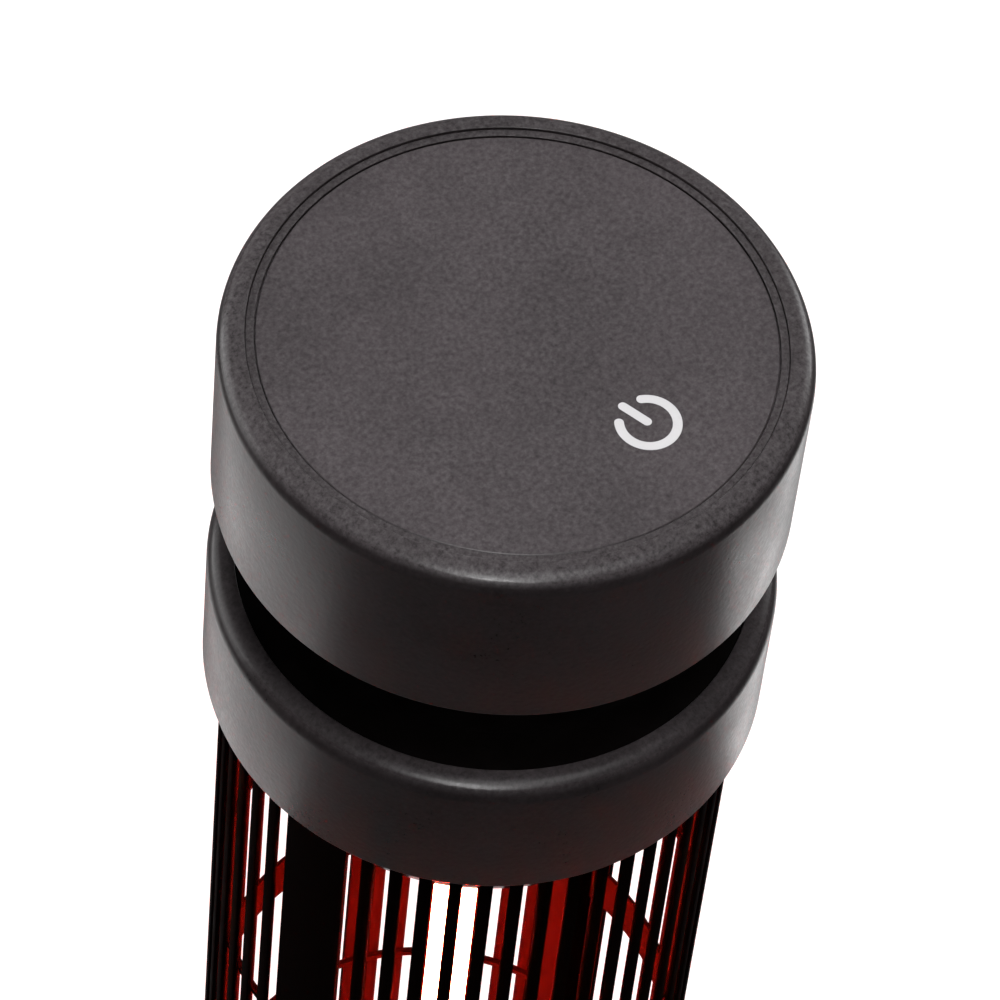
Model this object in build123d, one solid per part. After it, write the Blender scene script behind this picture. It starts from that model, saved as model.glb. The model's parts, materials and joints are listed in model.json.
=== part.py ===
from build123d import *
from math import asin, cos, degrees, radians, sin, sqrt, tan
import os

os.makedirs("parts", exist_ok=True)

# Under-table patio heater, in millimetres, +Z up, front towards -Y.
# The origin is on the floor, under the middle of the round base.

# Heights, from the floor up
foot_height = 3.0
base_plate_thickness = 6.0
base_height = 48.0
cage_height = 433.2
collar_height = 50.8
grip_gap = 39.6
cap_height = 64.4

# Drums: the cap, the collar and the base share one radius
drum_radius = 85.0
drum_wall = 2.0
rim_round = 6.4
base_rim_round = 4.5
lip_round = 0.4
edge_round = 0.8
ledge_width = 17.0
ledge_thickness = 2.5
boss_inset = 9.5
boss_radius = 4.5
boss_count = 4
first_angle = 45.0
cap_floor_inset = 2.5
collar_floor_inset = 4.0
floor_thickness = 2.0
floor_clearance = 0.2

# Top of the cap: touch panel, trim ring and the power symbol on the panel
rim_width = 7.9
trim_width = 2.7
seam_width = 0.35
panel_recess = 1.0
panel_thickness = 3.0
panel_bevel = 0.3
trim_rise = 0.4
symbol_inset = 29.0
symbol_turn = 2.0
symbol_radius = 8.25
symbol_stroke = 2.75
symbol_opening = 80.0
symbol_bar_start = -0.9
symbol_bar_end = 10.2
inlay_depth = 0.4

# Touch sensor under the panel
sensor_board_width = 44.0
sensor_board_depth = 28.0
board_thickness = 1.6
sensor_stud_height = 4.5
sensor_stud_radius = 2.5
sensor_stud_inset = 4.0
electrode_radius = 9.0

# Control board in the cap
control_board_left = 4.0
control_board_end_space = 17.0
control_board_width = 84.0
board_hole_inset = 4.5
board_inner_hole = 22.0
standoff_height = 6.0
standoff_radius = 3.2
relay_size = (19.0, 15.5, 15.0)
supply_size = (34.0, 20.0, 16.0)
heatsink_size = (26.0, 14.0, 22.0)
heatsink_fin = 1.6
heatsink_fin_count = 5
terminal_size = (9.0, 16.0, 10.0)
component_spacing = 3.0
component_round = 1.0

# Neck between collar and cap
neck_radius = 30.0
neck_wall = 2.5
neck_flange_radius = 42.0
neck_flange_thickness = 5.0
neck_screw_circle = 36.5
neck_screw_count = 4
neck_slot_width = 13.0
neck_slot_height = 9.0
gasket_width = 4.5
gasket_height = 3.0

# Dished plate on top of the collar
dish_recess = 2.0
dish_thickness = 1.5
dish_depth = 8.0
dish_flat_radius = 38.0
dish_shoulder_clearance = 1.5
dish_clearance = 0.3

# Cage: two grille halves between two posts, and a band inside them
cage_inset = 6.0
bar_depth = 2.0
bar_width = 4.0
cage_pitches = 54
hoop_spacing = 165.0
hoop_height = 2.4
hoop_depth = 1.8
weld_overlap = 0.2
band_height = 20.0
band_thickness = 1.5
post_joint = 0.15
conduit_depth = 11.0
conduit_width = 10.0
channel_width = 7.0
channel_depth = 4.8
channel_wall = 1.0
post_foot_width = 18.0
post_foot_height = 8.0
post_screw_spread = 6.4
post_screw_inset = 6.5
band_slot_clearance = 0.3

# Base
base_plate_radius = 115.0
base_plate_round = 2.0
mouth_clearance = 0.4
base_seat_depth = 4.0
deck_thickness = 1.5
deck_clearance = 0.3
foot_radius = 9.0
foot_circle = 100.0
foot_count = 4
foot_spigot_radius = 3.0
foot_spigot_height = 3.5
foot_spigot_clearance = 0.05

# Lamp on the axis, with its caps, contacts and holders
tube_radius = 7.0
tube_wall = 1.2
tube_end = 3.0
lamp_cap_radius = 9.0
lamp_cap_length = 24.0
lamp_cap_socket = 10.0
holder_radius = 15.5
holder_length = 18.0
holder_socket = 14.0
holder_screw_circle = 12.3
holder_round = 1.5
lamp_cap_round = 1.0
lamp_fit = 0.2
contact_radius = 7.0
contact_thickness = 1.0
emitter_width = 6.0
emitter_thickness = 0.8
clamp_radius = 4.0
clamp_length = 10.0

# Heat shield and blanket under the collar
shield_clearance = 3.5
shield_thickness = 1.2
notch_clearance = 1.0
spacer_length = 22.0
spacer_radius = 4.0
spacer_circle = 52.0
spacer_count = 4
blanket_inner_radius = 20.0
blanket_inset = 7.5
blanket_thickness = 10.0
blanket_hole_clearance = 0.3
cutout_radius = 8.0
cutout_height = 9.0
cutout_distance = 56.0

# Screws: one thread size in several lengths
screw_radius = 1.5
screw_head_radius = 3.0
screw_head_height = 2.0
screw_socket_radius = 1.3
screw_socket_depth = 1.0
screw_head_round = 0.5
thread_clearance = 0.05
hole_clearance = 0.2
pilot_extra = 0.6
floor_screw_length = 8.0
neck_screw_length = 6.0
post_screw_length = 9.0
holder_screw_length = 7.0
spacer_screw_length = 7.0
board_screw_length = 4.4
sensor_screw_length = 5.0
base_screw_length = 12.0
fixing_screw_length = 6.0

# Cable gland at the back of the base
gland_height = 28.0
gland_pad_radius = 13.0
gland_pad_rise = 1.5
gland_pad_thickness = 7.0
gland_thread_radius = 7.8
gland_hole_clearance = 0.2
gland_hex_radius = 10.5
gland_hex_length = 7.0
gland_nut_length = 4.0
gland_thread_reach = 1.0
gland_bore_radius = 4.2
gland_cap_radius = 9.8
gland_cap_length = 10.0
gland_cap_wall = 2.0
gland_cap_round = 2.0
gland_seal_wall = 2.6
gland_seal_lap = 1.0

# Terminal block and wires
block_size = (20.0, 26.0, 17.0)
block_wire_space = 13.4
block_wall = 1.0
wire_radius = 0.95
wire_pitch = 2.3
wire_count = 3
wire_bend = 5.0
wire_exit_height = 11.0
collar_wire_height = 12.0
neck_wire_offset = 15.0
lead_radius = 1.2
lead_hole_radius = 1.8
lead_bend = 8.0
lead_end_bend = 3.0
lead_offset = 6.0
lead_shift_height = 40.0

# Tip-over switch: a pendulum that hangs in a frame on the base plate
tip_distance = 45.0
tip_frame_width = 20.0
tip_frame_sheet = 1.5
tip_frame_gap = 14.0
tip_ear_length = 8.0
tip_pin_height = 29.5
tip_pin_radius = 1.5
tip_pin_head_radius = 2.4
tip_pin_reach = 1.0
tip_running_fit = 0.05
tip_hub_radius = 3.5
tip_hub_length = 12.0
tip_arm_width = 3.0
tip_bob_radius = 6.0
tip_bob_height = 10.0
tip_bob_drop = 13.5
tip_finger_width = 2.0
tip_finger_top = 8.6
tip_bridge_low = 6.5
tip_swing = 30.0
tip_stop_clearance = 0.3
magnet_radius = 3.0
magnet_height = 2.0
sensor_chip_size = (4.0, 3.0, 0.9)
tip_sensor_size = (14.0, 12.0, 1.6)

# How far a cut runs past a face, and how deep a joined piece reaches in
cut_margin = 1.0
joint_depth = 0.5

# Levels that follow from the heights
plate_low = foot_height
plate_top = plate_low + base_plate_thickness
base_top = plate_top + base_height
collar_low = base_top + cage_height
collar_top = collar_low + collar_height
cap_low = collar_top + grip_gap
cap_top = cap_low + cap_height
panel_top = cap_top - panel_recess
panel_low = panel_top - panel_thickness
cap_seat_depth = panel_recess + panel_thickness
cap_ledge_low = cap_top - cap_seat_depth - ledge_thickness
cap_floor_low = cap_low + cap_floor_inset
cap_floor_top = cap_floor_low + floor_thickness
collar_floor_low = collar_low + collar_floor_inset
collar_floor_top = collar_floor_low + floor_thickness
collar_seat_depth = dish_recess + dish_thickness
collar_seat = collar_top - collar_seat_depth
collar_ledge_low = collar_seat - ledge_thickness
base_seat = base_top - base_seat_depth
base_ledge_low = base_seat - ledge_thickness
deck_top = base_seat + deck_thickness
shield_top = collar_floor_low - spacer_length
shield_low = shield_top - shield_thickness
cage_middle = base_top + cage_height / 2

# Radii and angles that follow
inner_wall = drum_radius - drum_wall
ledge_radius = inner_wall - ledge_width
boss_circle = inner_wall - boss_inset
trim_radius = drum_radius - rim_width
panel_radius = trim_radius - trim_width
symbol_distance = panel_radius - symbol_inset
dish_shoulder_radius = ledge_radius - dish_shoulder_clearance
control_board_length = inner_wall - control_board_end_space - control_board_left
cage_radius = drum_radius - cage_inset
cage_inner = cage_radius - bar_depth
conduit_inner_radius = cage_radius - conduit_depth
post_screw_circle = cage_radius - post_screw_inset
shield_radius = cage_inner - shield_clearance
blanket_outer_radius = shield_radius - blanket_inset
gland_pad_outer = drum_radius + gland_pad_rise
gland_pad_inner = gland_pad_outer - gland_pad_thickness
base_mouth = cage_radius + mouth_clearance
deck_radius = cage_inner - deck_clearance
pitch_angle = 360.0 / cage_pitches
bar_angle = degrees(bar_width / cage_radius)
post_half_angle = pitch_angle + bar_angle / 2
joint_angle = degrees(post_joint / cage_radius)
pilot_radius = screw_radius + thread_clearance
clear_radius = screw_radius + hole_clearance
channel_inner = conduit_inner_radius + channel_wall
channel_middle = channel_inner + channel_depth / 2
block_distance = channel_middle - block_wire_space - block_size[0] / 2
boss_angles = [first_angle + 360 / boss_count * index for index in range(boss_count)]


def disc(radius, low, high, x=0.0, y=0.0):
    """Upright cylinder between two levels."""
    return Pos(x, y, (low + high) / 2) * Cylinder(radius, high - low)


def ring(outer, inner, low, high, x=0.0, y=0.0):
    """Upright tube between two levels."""
    return disc(outer, low, high, x, y) - disc(inner, low - cut_margin, high + cut_margin, x, y)


def block(left, right, front, back, low, high):
    """Box between three pairs of coordinates."""
    size = Box(right - left, back - front, high - low)
    return Pos((left + right) / 2, (front + back) / 2, (low + high) / 2) * size


def around(radius, angle):
    """Point at an angle on a circle round the axis."""
    return radius * cos(radians(angle)), radius * sin(radians(angle))


def lathe(outline):
    """Solid of revolution from a closed outline of (radius, height) curves."""
    return revolve(Plane.XZ * make_face(outline), Axis.Z)


def sector(inner, outer, low, high, middle, half_angle):
    """Piece of a tube between two angles."""
    corners = [(inner, low), (outer, low), (outer, high), (inner, high)]
    face = make_face(Polyline(*corners, close=True))
    turned = Rot(0, 0, middle - half_angle) * (Plane.XZ * face)
    return revolve(turned, Axis.Z, 2 * half_angle)


def quarter(start, end, centre):
    """Quarter round between two points about a centre."""
    radius = sqrt((start[0] - centre[0]) ** 2 + (start[1] - centre[1]) ** 2)
    middle_x = (start[0] + end[0]) / 2 - centre[0]
    middle_z = (start[1] + end[1]) / 2 - centre[1]
    reach = sqrt(middle_x ** 2 + middle_z ** 2)
    middle = (centre[0] + middle_x * radius / reach, centre[1] + middle_z * radius / reach)
    return ThreePointArc(start, middle, end)


def screw(length):
    """Socket screw that points down, its head seated at level 0."""
    head = disc(screw_head_radius, 0, screw_head_height)
    head = fillet(head.edges().group_by(Axis.Z)[-1], screw_head_round)
    socket_low = screw_head_height - screw_socket_depth
    socket = RegularPolygon(screw_socket_radius, 6)
    socket = Pos(0, 0, socket_low) * extrude(socket, screw_socket_depth + cut_margin)
    shank = disc(screw_radius, -length, joint_depth)
    return head + shank - socket


def screw_down(length, x, y, seat):
    """Screw driven from above."""
    return Pos(x, y, seat) * screw(length)


def screw_up(length, x, y, seat):
    """Screw driven from below."""
    return Pos(x, y, seat) * Rot(180, 0, 0) * screw(length)


def save(shape, node):
    """Write one node; a list becomes one group of separate solids."""
    if isinstance(shape, list):
        shape = Compound(children=shape)
    export_step(shape, "parts/" + node + ".step")


def drum_shell(low, top, rounding, mouth, seat_depth):
    """Drum wall with a crowned rim and, inside it, a ledge that a plate sits on."""
    seat = top - seat_depth
    ledge_low = seat - ledge_thickness
    outline = Polyline((inner_wall, low), (drum_radius - edge_round, low))
    outline += quarter((drum_radius - edge_round, low), (drum_radius, low + edge_round),
                       (drum_radius - edge_round, low + edge_round))
    outline += Line((drum_radius, low + edge_round), (drum_radius, top - rounding))
    outline += quarter((drum_radius, top - rounding), (drum_radius - rounding, top),
                       (drum_radius - rounding, top - rounding))
    outline += Line((drum_radius - rounding, top), (mouth + lip_round, top))
    outline += quarter((mouth + lip_round, top), (mouth, top - lip_round),
                       (mouth + lip_round, top - lip_round))
    outline += Polyline((mouth, top - lip_round), (mouth, seat), (ledge_radius, seat),
                        (ledge_radius, ledge_low), (inner_wall, ledge_low), (inner_wall, low))
    return lathe(outline)


def bosses(low, ledge_low, screw_reach):
    """Screw bosses that hang from the ledge, and their pilot holes from below."""
    posts = []
    pilots = []
    for angle in boss_angles:
        x, y = around(boss_circle, angle)
        posts.append(disc(boss_radius, low, ledge_low + ledge_thickness / 2, x, y))
        pilots.append(disc(pilot_radius, low - cut_margin, low + screw_reach + pilot_extra, x, y))
    return posts, pilots


def boss_screws(length, seat):
    """Screws from below, one for each boss."""
    return [screw_up(length, *around(boss_circle, angle), seat) for angle in boss_angles]


def floor_plate(low):
    """Round sheet inside a drum, with holes for the boss screws."""
    plate = disc(inner_wall - floor_clearance, low, low + floor_thickness)
    for angle in boss_angles:
        x, y = around(boss_circle, angle)
        plate -= disc(clear_radius, low - cut_margin, low + floor_thickness + cut_margin, x, y)
    return plate


def cap_shell():
    """Outer drum of the cap."""
    shell = drum_shell(cap_low, cap_top, rim_round, trim_radius, cap_seat_depth)
    reach = floor_screw_length - floor_thickness
    posts, pilots = bosses(cap_floor_top, cap_ledge_low, reach)
    return shell + posts - pilots


def trim_ring():
    """Narrow ring in the seam between the cap's rim and the panel."""
    body = ring(trim_radius - seam_width / 2, panel_radius + seam_width / 2,
                panel_low, panel_top + trim_rise)
    return chamfer(body.edges().group_by(Axis.Z)[-1], panel_bevel)


def symbol_middle():
    """Middle of the power symbol on the panel."""
    return around(symbol_distance, symbol_turn - 90)


def symbol_solids(low, high):
    """Open ring and bar with round ends; the bar points to the middle of the panel."""
    half_opening = symbol_opening / 2
    arc = CenterArc((0, 0), symbol_radius, 90 + half_opening, 360 - symbol_opening)
    open_ring = SlotArc(arc, symbol_stroke)
    bar_length = symbol_bar_end - symbol_bar_start
    bar = SlotOverall(bar_length, symbol_stroke, rotation=90)
    bar = Pos(0, (symbol_bar_start + symbol_bar_end) / 2) * bar
    x, y = symbol_middle()
    place = Pos(x, y, low) * Rot(0, 0, symbol_turn)
    return [place * extrude(shape, high - low) for shape in (open_ring, bar)]


def sensor_corners():
    """Where the sensor board is screwed to the panel."""
    x, y = symbol_middle()
    across = sensor_board_width / 2 - sensor_stud_inset
    along = sensor_board_depth / 2 - sensor_stud_inset
    return [(x + i * across, y + j * along) for i in (-1, 1) for j in (-1, 1)]


def touch_panel():
    """Touch-sensitive top plate, with a pocket for the symbol and studs below."""
    body = disc(panel_radius - seam_width / 2, panel_low, panel_top)
    body = chamfer(body.edges().group_by(Axis.Z)[-1], panel_bevel)
    body -= symbol_solids(panel_top - inlay_depth, panel_top + cut_margin)
    stud_low = panel_low - sensor_stud_height
    pilot_top = stud_low + sensor_screw_length - board_thickness + pilot_extra
    for x, y in sensor_corners():
        body += disc(sensor_stud_radius, stud_low, panel_low + joint_depth, x, y)
        body -= disc(pilot_radius, stud_low - cut_margin, pilot_top, x, y)
    return body


def sensor_board():
    """Board that senses the touch, under the symbol."""
    x, y = symbol_middle()
    top = panel_low - sensor_stud_height
    board = block(x - sensor_board_width / 2, x + sensor_board_width / 2,
                  y - sensor_board_depth / 2, y + sensor_board_depth / 2,
                  top - board_thickness, top)
    for hole_x, hole_y in sensor_corners():
        board -= disc(clear_radius, top - board_thickness - cut_margin, top + cut_margin, hole_x, hole_y)
    return board


def touch_electrode():
    """Conductive pad between the board and the panel."""
    x, y = symbol_middle()
    return disc(electrode_radius, panel_low - sensor_stud_height, panel_low, x, y)


def sensor_screws():
    """Four screws that hold the sensor board."""
    seat = panel_low - sensor_stud_height - board_thickness
    return [screw_up(sensor_screw_length, x, y, seat) for x, y in sensor_corners()]


def control_holes():
    """Where the control board stands on its standoffs."""
    across = control_board_width / 2 - board_hole_inset
    outer = control_board_left + control_board_length - board_hole_inset
    inner = control_board_left + board_inner_hole
    return [(x, y) for x in (inner, outer) for y in (-across, across)]


def cap_floor():
    """Sheet that closes the cap, with the neck hole and screw holes."""
    plate = floor_plate(cap_floor_low)
    plate -= disc(neck_radius - neck_wall, cap_floor_low - cut_margin, cap_floor_top + cut_margin)
    holes = control_holes() + neck_screw_places()
    for x, y in holes:
        plate -= disc(clear_radius, cap_floor_low - cut_margin, cap_floor_top + cut_margin, x, y)
    return plate


def control_board():
    """Power board in the cap."""
    low = cap_floor_top + standoff_height
    board = block(control_board_left, control_board_left + control_board_length,
                  -control_board_width / 2, control_board_width / 2,
                  low, low + board_thickness)
    for x, y in control_holes():
        board -= disc(clear_radius, low - cut_margin, low + board_thickness + cut_margin, x, y)
    return board


def board_standoffs():
    """Threaded standoffs under the control board."""
    top = cap_floor_top + standoff_height
    return [ring(standoff_radius, pilot_radius, cap_floor_top, top, x, y)
            for x, y in control_holes()]


def board_screws():
    """Screws at both ends of each standoff."""
    board_top = cap_floor_top + standoff_height + board_thickness
    screws = [screw_down(board_screw_length, x, y, board_top) for x, y in control_holes()]
    screws += [screw_up(board_screw_length, x, y, cap_floor_low) for x, y in control_holes()]
    return screws


def on_board(size, left, front):
    """Component block on the control board, from its left and front edges."""
    low = cap_floor_top + standoff_height + board_thickness
    return block(left, left + size[0], front, front + size[1], low, low + size[2])


def wire_terminal():
    """Terminals at the edge of the board that faces the neck."""
    left = control_board_left
    body = on_board(terminal_size, left, -terminal_size[1] / 2)
    return body


def power_relay():
    """Relay that switches the lamp."""
    left = control_board_left + terminal_size[0] + component_spacing
    body = on_board(relay_size, left, -relay_size[1] - component_spacing / 2)
    return fillet(body.edges().filter_by(Axis.Z), component_round)


def supply_module():
    """Small power supply for the touch circuit."""
    left = control_board_left + terminal_size[0] + component_spacing
    body = on_board(supply_size, left, component_spacing / 2)
    return fillet(body.edges().filter_by(Axis.Z), component_round)


def triac_heatsink():
    """Finned heat sink of the power switch."""
    left = control_board_left + terminal_size[0] + relay_size[0] + 2 * component_spacing
    front = -heatsink_size[1] - component_spacing / 2
    body = on_board(heatsink_size, left, front)
    low = cap_floor_top + standoff_height + board_thickness
    fin_pitch = (heatsink_size[0] - heatsink_fin) / (heatsink_fin_count - 1)
    for index in range(heatsink_fin_count - 1):
        slot_left = left + heatsink_fin + index * fin_pitch
        body -= block(slot_left, slot_left + fin_pitch - heatsink_fin,
                      front - cut_margin, front + heatsink_size[1] + cut_margin,
                      low + 2 * heatsink_fin, low + heatsink_size[2] + cut_margin)
    return body


def neck_screw_places():
    """Screws of the neck flanges."""
    step = 360 / neck_screw_count
    return [around(neck_screw_circle, first_angle + step * index)
            for index in range(neck_screw_count)]


def neck_tube():
    """Tube with a flange at each end that carries the cap and holds the wires."""
    low = collar_floor_top
    high = cap_floor_low
    tube = disc(neck_radius, low, high)
    tube += disc(neck_flange_radius, low, low + neck_flange_thickness)
    tube += disc(neck_flange_radius, high - neck_flange_thickness, high)
    tube -= disc(neck_radius - neck_wall, low - cut_margin, high + cut_margin)
    depth = neck_screw_length - floor_thickness + pilot_extra
    for x, y in neck_screw_places():
        tube -= disc(pilot_radius, low - cut_margin, low + depth, x, y)
        tube -= disc(pilot_radius, high - depth, high + cut_margin, x, y)
    slot_middle = low + collar_wire_height
    tube -= block(-neck_radius - cut_margin, 0, -neck_slot_width / 2, neck_slot_width / 2,
                  slot_middle - neck_slot_height / 2, slot_middle + neck_slot_height / 2)
    return tube


def neck_screws():
    """Screws from inside the cap and from under the collar."""
    screws = [screw_down(neck_screw_length, x, y, cap_floor_top)
              for x, y in neck_screw_places()]
    screws += [screw_up(neck_screw_length, x, y, collar_floor_low)
               for x, y in neck_screw_places()]
    return screws


def neck_gasket():
    """Rubber ring that seals the neck on the dished plate."""
    low = collar_seat - dish_depth + dish_thickness
    return ring(neck_radius + gasket_width, neck_radius, low, low + gasket_height)


def collar_shell():
    """Outer drum of the collar."""
    shell = drum_shell(collar_low, collar_top, rim_round, trim_radius, collar_seat_depth)
    reach = floor_screw_length - floor_thickness
    posts, pilots = bosses(collar_floor_top, collar_ledge_low, reach)
    return shell + posts - pilots


def collar_dish():
    """Dished plate that closes the top of the collar round the neck."""
    width = dish_shoulder_radius - dish_flat_radius
    bowl = (width ** 2 + dish_depth ** 2) / (2 * dish_depth)
    slope = degrees(asin(width / bowl))
    low = collar_seat - dish_depth
    bore = neck_radius + dish_clearance
    rim = trim_radius - dish_clearance
    under = JernArc((dish_flat_radius, low), (1, 0), bowl, slope)
    over_start = (dish_flat_radius, low + dish_thickness)
    over = JernArc(over_start, (1, 0), bowl - dish_thickness, slope)
    outline = Line((bore, low), (dish_flat_radius, low)) + under
    outline += Polyline(under @ 1, (rim, collar_seat), (rim, collar_seat + dish_thickness),
                        over @ 1)
    outline += over
    outline += Polyline(over_start, (bore, low + dish_thickness), (bore, low))
    return lathe(outline)


def post_screw_places():
    """Screws of the two post feet, as (side, x, y)."""
    return [(side, side * post_screw_circle, across)
            for side in (-1, 1) for across in (-post_screw_spread, post_screw_spread)]


def spacer_places():
    """Spacers between the collar floor and the heat shield."""
    step = 360 / spacer_count
    return [around(spacer_circle, first_angle + step * index)
            for index in range(spacer_count)]


def channel(side, low, high):
    """Space for the wires that rise through a post."""
    near = side * channel_inner
    far = side * (channel_inner + channel_depth)
    return block(min(near, far), max(near, far), -channel_width / 2, channel_width / 2,
                 low, high)


def collar_floor():
    """Sheet under the collar that the posts, the neck and the shield hold on to."""
    plate = floor_plate(collar_floor_low)
    low = collar_floor_low - 1
    high = collar_floor_top + 1
    holes = neck_screw_places() + spacer_places()
    holes += [(x, y) for side, x, y in post_screw_places()]
    for x, y in holes:
        plate -= disc(clear_radius, low, high, x, y)
    plate -= channel(-1, low, high)
    plate -= disc(lead_hole_radius, low, high)
    return plate


def thermal_cutout():
    """Round thermostat that cuts the current when the collar gets too hot."""
    return disc(cutout_radius, collar_floor_top, collar_floor_top + cutout_height,
                0, cutout_distance)


def upper_heat_shield():
    """Polished plate over the lamp."""
    plate = disc(shield_radius, shield_low, shield_top)
    holes = spacer_places() + holder_screw_places()
    for x, y in holes:
        plate -= disc(clear_radius, shield_low - cut_margin, shield_top + cut_margin, x, y)
    for side in (-1, 1):
        near = side * (conduit_inner_radius - notch_clearance)
        far = side * (shield_radius + cut_margin)
        plate -= block(min(near, far), max(near, far), -post_foot_width / 2 - notch_clearance,
                       post_foot_width / 2 + notch_clearance, shield_low - cut_margin,
                       shield_top + cut_margin)
    plate -= disc(lead_hole_radius, shield_low - cut_margin, shield_top + cut_margin)
    return plate


def shield_spacers():
    """Threaded spacers that hang the heat shield under the collar."""
    return [ring(spacer_radius, pilot_radius, shield_top, collar_floor_low, x, y)
            for x, y in spacer_places()]


def shield_screws():
    """Screws at both ends of each spacer."""
    screws = [screw_down(spacer_screw_length, x, y, collar_floor_top)
              for x, y in spacer_places()]
    screws += [screw_up(spacer_screw_length, x, y, shield_low) for x, y in spacer_places()]
    return screws


def ceramic_blanket():
    """Ceramic fibre pad on the heat shield."""
    pad = ring(blanket_outer_radius, blanket_inner_radius, shield_top,
               shield_top + blanket_thickness)
    for x, y in spacer_places():
        pad -= disc(spacer_radius + blanket_hole_clearance, shield_top - cut_margin,
                    shield_top + blanket_thickness + cut_margin, x, y)
    return pad


def holder_screw_places():
    """Two screws in each lamp holder."""
    return [(side * holder_screw_circle, 0.0) for side in (-1, 1)]


def lamp_holder(seat, up):
    """Ceramic cup that a lamp cap stands in; up is 1 for the lower and -1 for the upper."""
    cup = disc(holder_radius, 0, holder_length)
    cup = fillet(cup.edges().group_by(Axis.Z)[-1], holder_round)
    socket_low = holder_length - holder_socket
    cup -= disc(lamp_cap_radius + lamp_fit, socket_low, holder_length + cut_margin)
    cup -= disc(lead_hole_radius, -cut_margin, socket_low + cut_margin)
    for x, y in holder_screw_places():
        cup -= disc(pilot_radius, -cut_margin, holder_screw_length, x, y)
    turn = 0 if up > 0 else 180
    return Pos(0, 0, seat) * Rot(turn, 0, 0) * cup


def lamp_cap(contact_level, up):
    """Ceramic cap on one end of the lamp."""
    cap = disc(lamp_cap_radius, 0, lamp_cap_length)
    cap = fillet(cap.edges().group_by(Axis.Z)[-1], lamp_cap_round)
    cap -= disc(tube_radius + lamp_fit / 2, lamp_cap_length - lamp_cap_socket,
                lamp_cap_length + cut_margin)
    turn = 0 if up > 0 else 180
    return Pos(0, 0, contact_level) * Rot(turn, 0, 0) * cap


lower_socket = deck_top + holder_length - holder_socket
upper_socket = shield_low - holder_length + holder_socket
lower_cap_end = lower_socket + contact_thickness
upper_cap_end = upper_socket - contact_thickness
tube_low = lower_cap_end + lamp_cap_length - lamp_cap_socket
tube_high = upper_cap_end - lamp_cap_length + lamp_cap_socket


def holder_screws():
    """Screws from under the deck and from above the heat shield."""
    screws = [screw_up(holder_screw_length, x, y, base_seat)
              for x, y in holder_screw_places()]
    screws += [screw_down(holder_screw_length, x, y, shield_top)
               for x, y in holder_screw_places()]
    return screws


def contact_discs():
    """Sprung contact discs at the bottom of each holder."""
    return [disc(contact_radius, lower_socket, lower_cap_end),
            disc(contact_radius, upper_cap_end, upper_socket)]


def quartz_tube():
    """Glass tube of the lamp, closed at both ends."""
    tube = disc(tube_radius, tube_low, tube_high)
    return tube - disc(tube_radius - tube_wall, tube_low + tube_end, tube_high - tube_end)


def emitter_clamps():
    """Metal ends that hold the carbon strip inside the tube."""
    low = tube_low + tube_end
    high = tube_high - tube_end
    return [disc(clamp_radius, low, low + clamp_length),
            disc(clamp_radius, high - clamp_length, high)]


def carbon_emitter():
    """Carbon strip that glows."""
    low = tube_low + tube_end + clamp_length
    high = tube_high - tube_end - clamp_length
    return block(-emitter_width / 2, emitter_width / 2, -emitter_thickness / 2,
                 emitter_thickness / 2, low, high)


def grille_half(middle):
    """Half of the cage: upright bars with 25 slots between them, rims and two hoops."""
    half = 90 - post_half_angle - joint_angle
    body = sector(cage_inner, cage_radius, base_seat, collar_floor_low, middle, half)
    slot_half = (pitch_angle - bar_angle) / 2
    slot_count = cage_pitches // 2 - 2
    first = middle - (slot_count - 1) / 2 * pitch_angle
    slots = [sector(cage_inner - cut_margin, cage_radius + cut_margin, base_top, collar_low,
                    first + index * pitch_angle, slot_half) for index in range(slot_count)]
    body -= slots
    for direction in (-1, 1):
        level = cage_middle + direction * hoop_spacing / 2
        body += sector(cage_inner - hoop_depth, cage_inner + weld_overlap,
                       level - hoop_height / 2, level + hoop_height / 2, middle, half)
    return body


def mid_band():
    """Flat band inside the bars, half way up the cage."""
    return ring(cage_inner, cage_inner - band_thickness, cage_middle - band_height / 2,
                cage_middle + band_height / 2)


def post(side):
    """Post with a curved face flush with the bars and a wire channel behind it."""
    middle = 0 if side > 0 else 180
    body = sector(cage_inner, cage_radius, base_seat, collar_floor_low, middle,
                  post_half_angle)
    near = side * conduit_inner_radius
    far = side * (cage_inner + weld_overlap)
    body += block(min(near, far), max(near, far), -conduit_width / 2, conduit_width / 2,
                  deck_top, collar_floor_low)
    foot_far = side * sqrt((cage_inner - deck_clearance) ** 2 - (post_foot_width / 2) ** 2)
    for low, high in ((deck_top, deck_top + post_foot_height),
                      (collar_floor_low - post_foot_height, collar_floor_low)):
        body += block(min(near, foot_far), max(near, foot_far), -post_foot_width / 2,
                      post_foot_width / 2, low, high)
    body -= channel(side, deck_top - cut_margin, collar_floor_low + cut_margin)
    lower_reach = post_screw_length - ledge_thickness - deck_thickness + pilot_extra
    upper_reach = post_screw_length - floor_thickness + pilot_extra
    for screw_side, x, y in post_screw_places():
        if screw_side == side:
            body -= disc(pilot_radius, deck_top - cut_margin, deck_top + lower_reach, x, y)
            body -= disc(pilot_radius, collar_floor_low - upper_reach,
                         collar_floor_low + cut_margin, x, y)
    body -= ring(cage_inner, cage_inner - band_thickness - band_slot_clearance,
                 cage_middle - band_height / 2,
                 cage_middle + band_height / 2 + band_slot_clearance)
    return body


def post_screws():
    """Screws from under the base ledge and from above the collar floor."""
    screws = []
    for side, x, y in post_screw_places():
        screws.append(screw_up(post_screw_length, x, y, base_ledge_low))
        screws.append(screw_down(post_screw_length, x, y, collar_floor_top))
    return screws


def gland_cylinder(radius, front, back):
    """Cylinder along Y on the gland's axis."""
    return Pos(0, (front + back) / 2, gland_height) * Rot(90, 0, 0) * Cylinder(
        radius, back - front)


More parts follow.
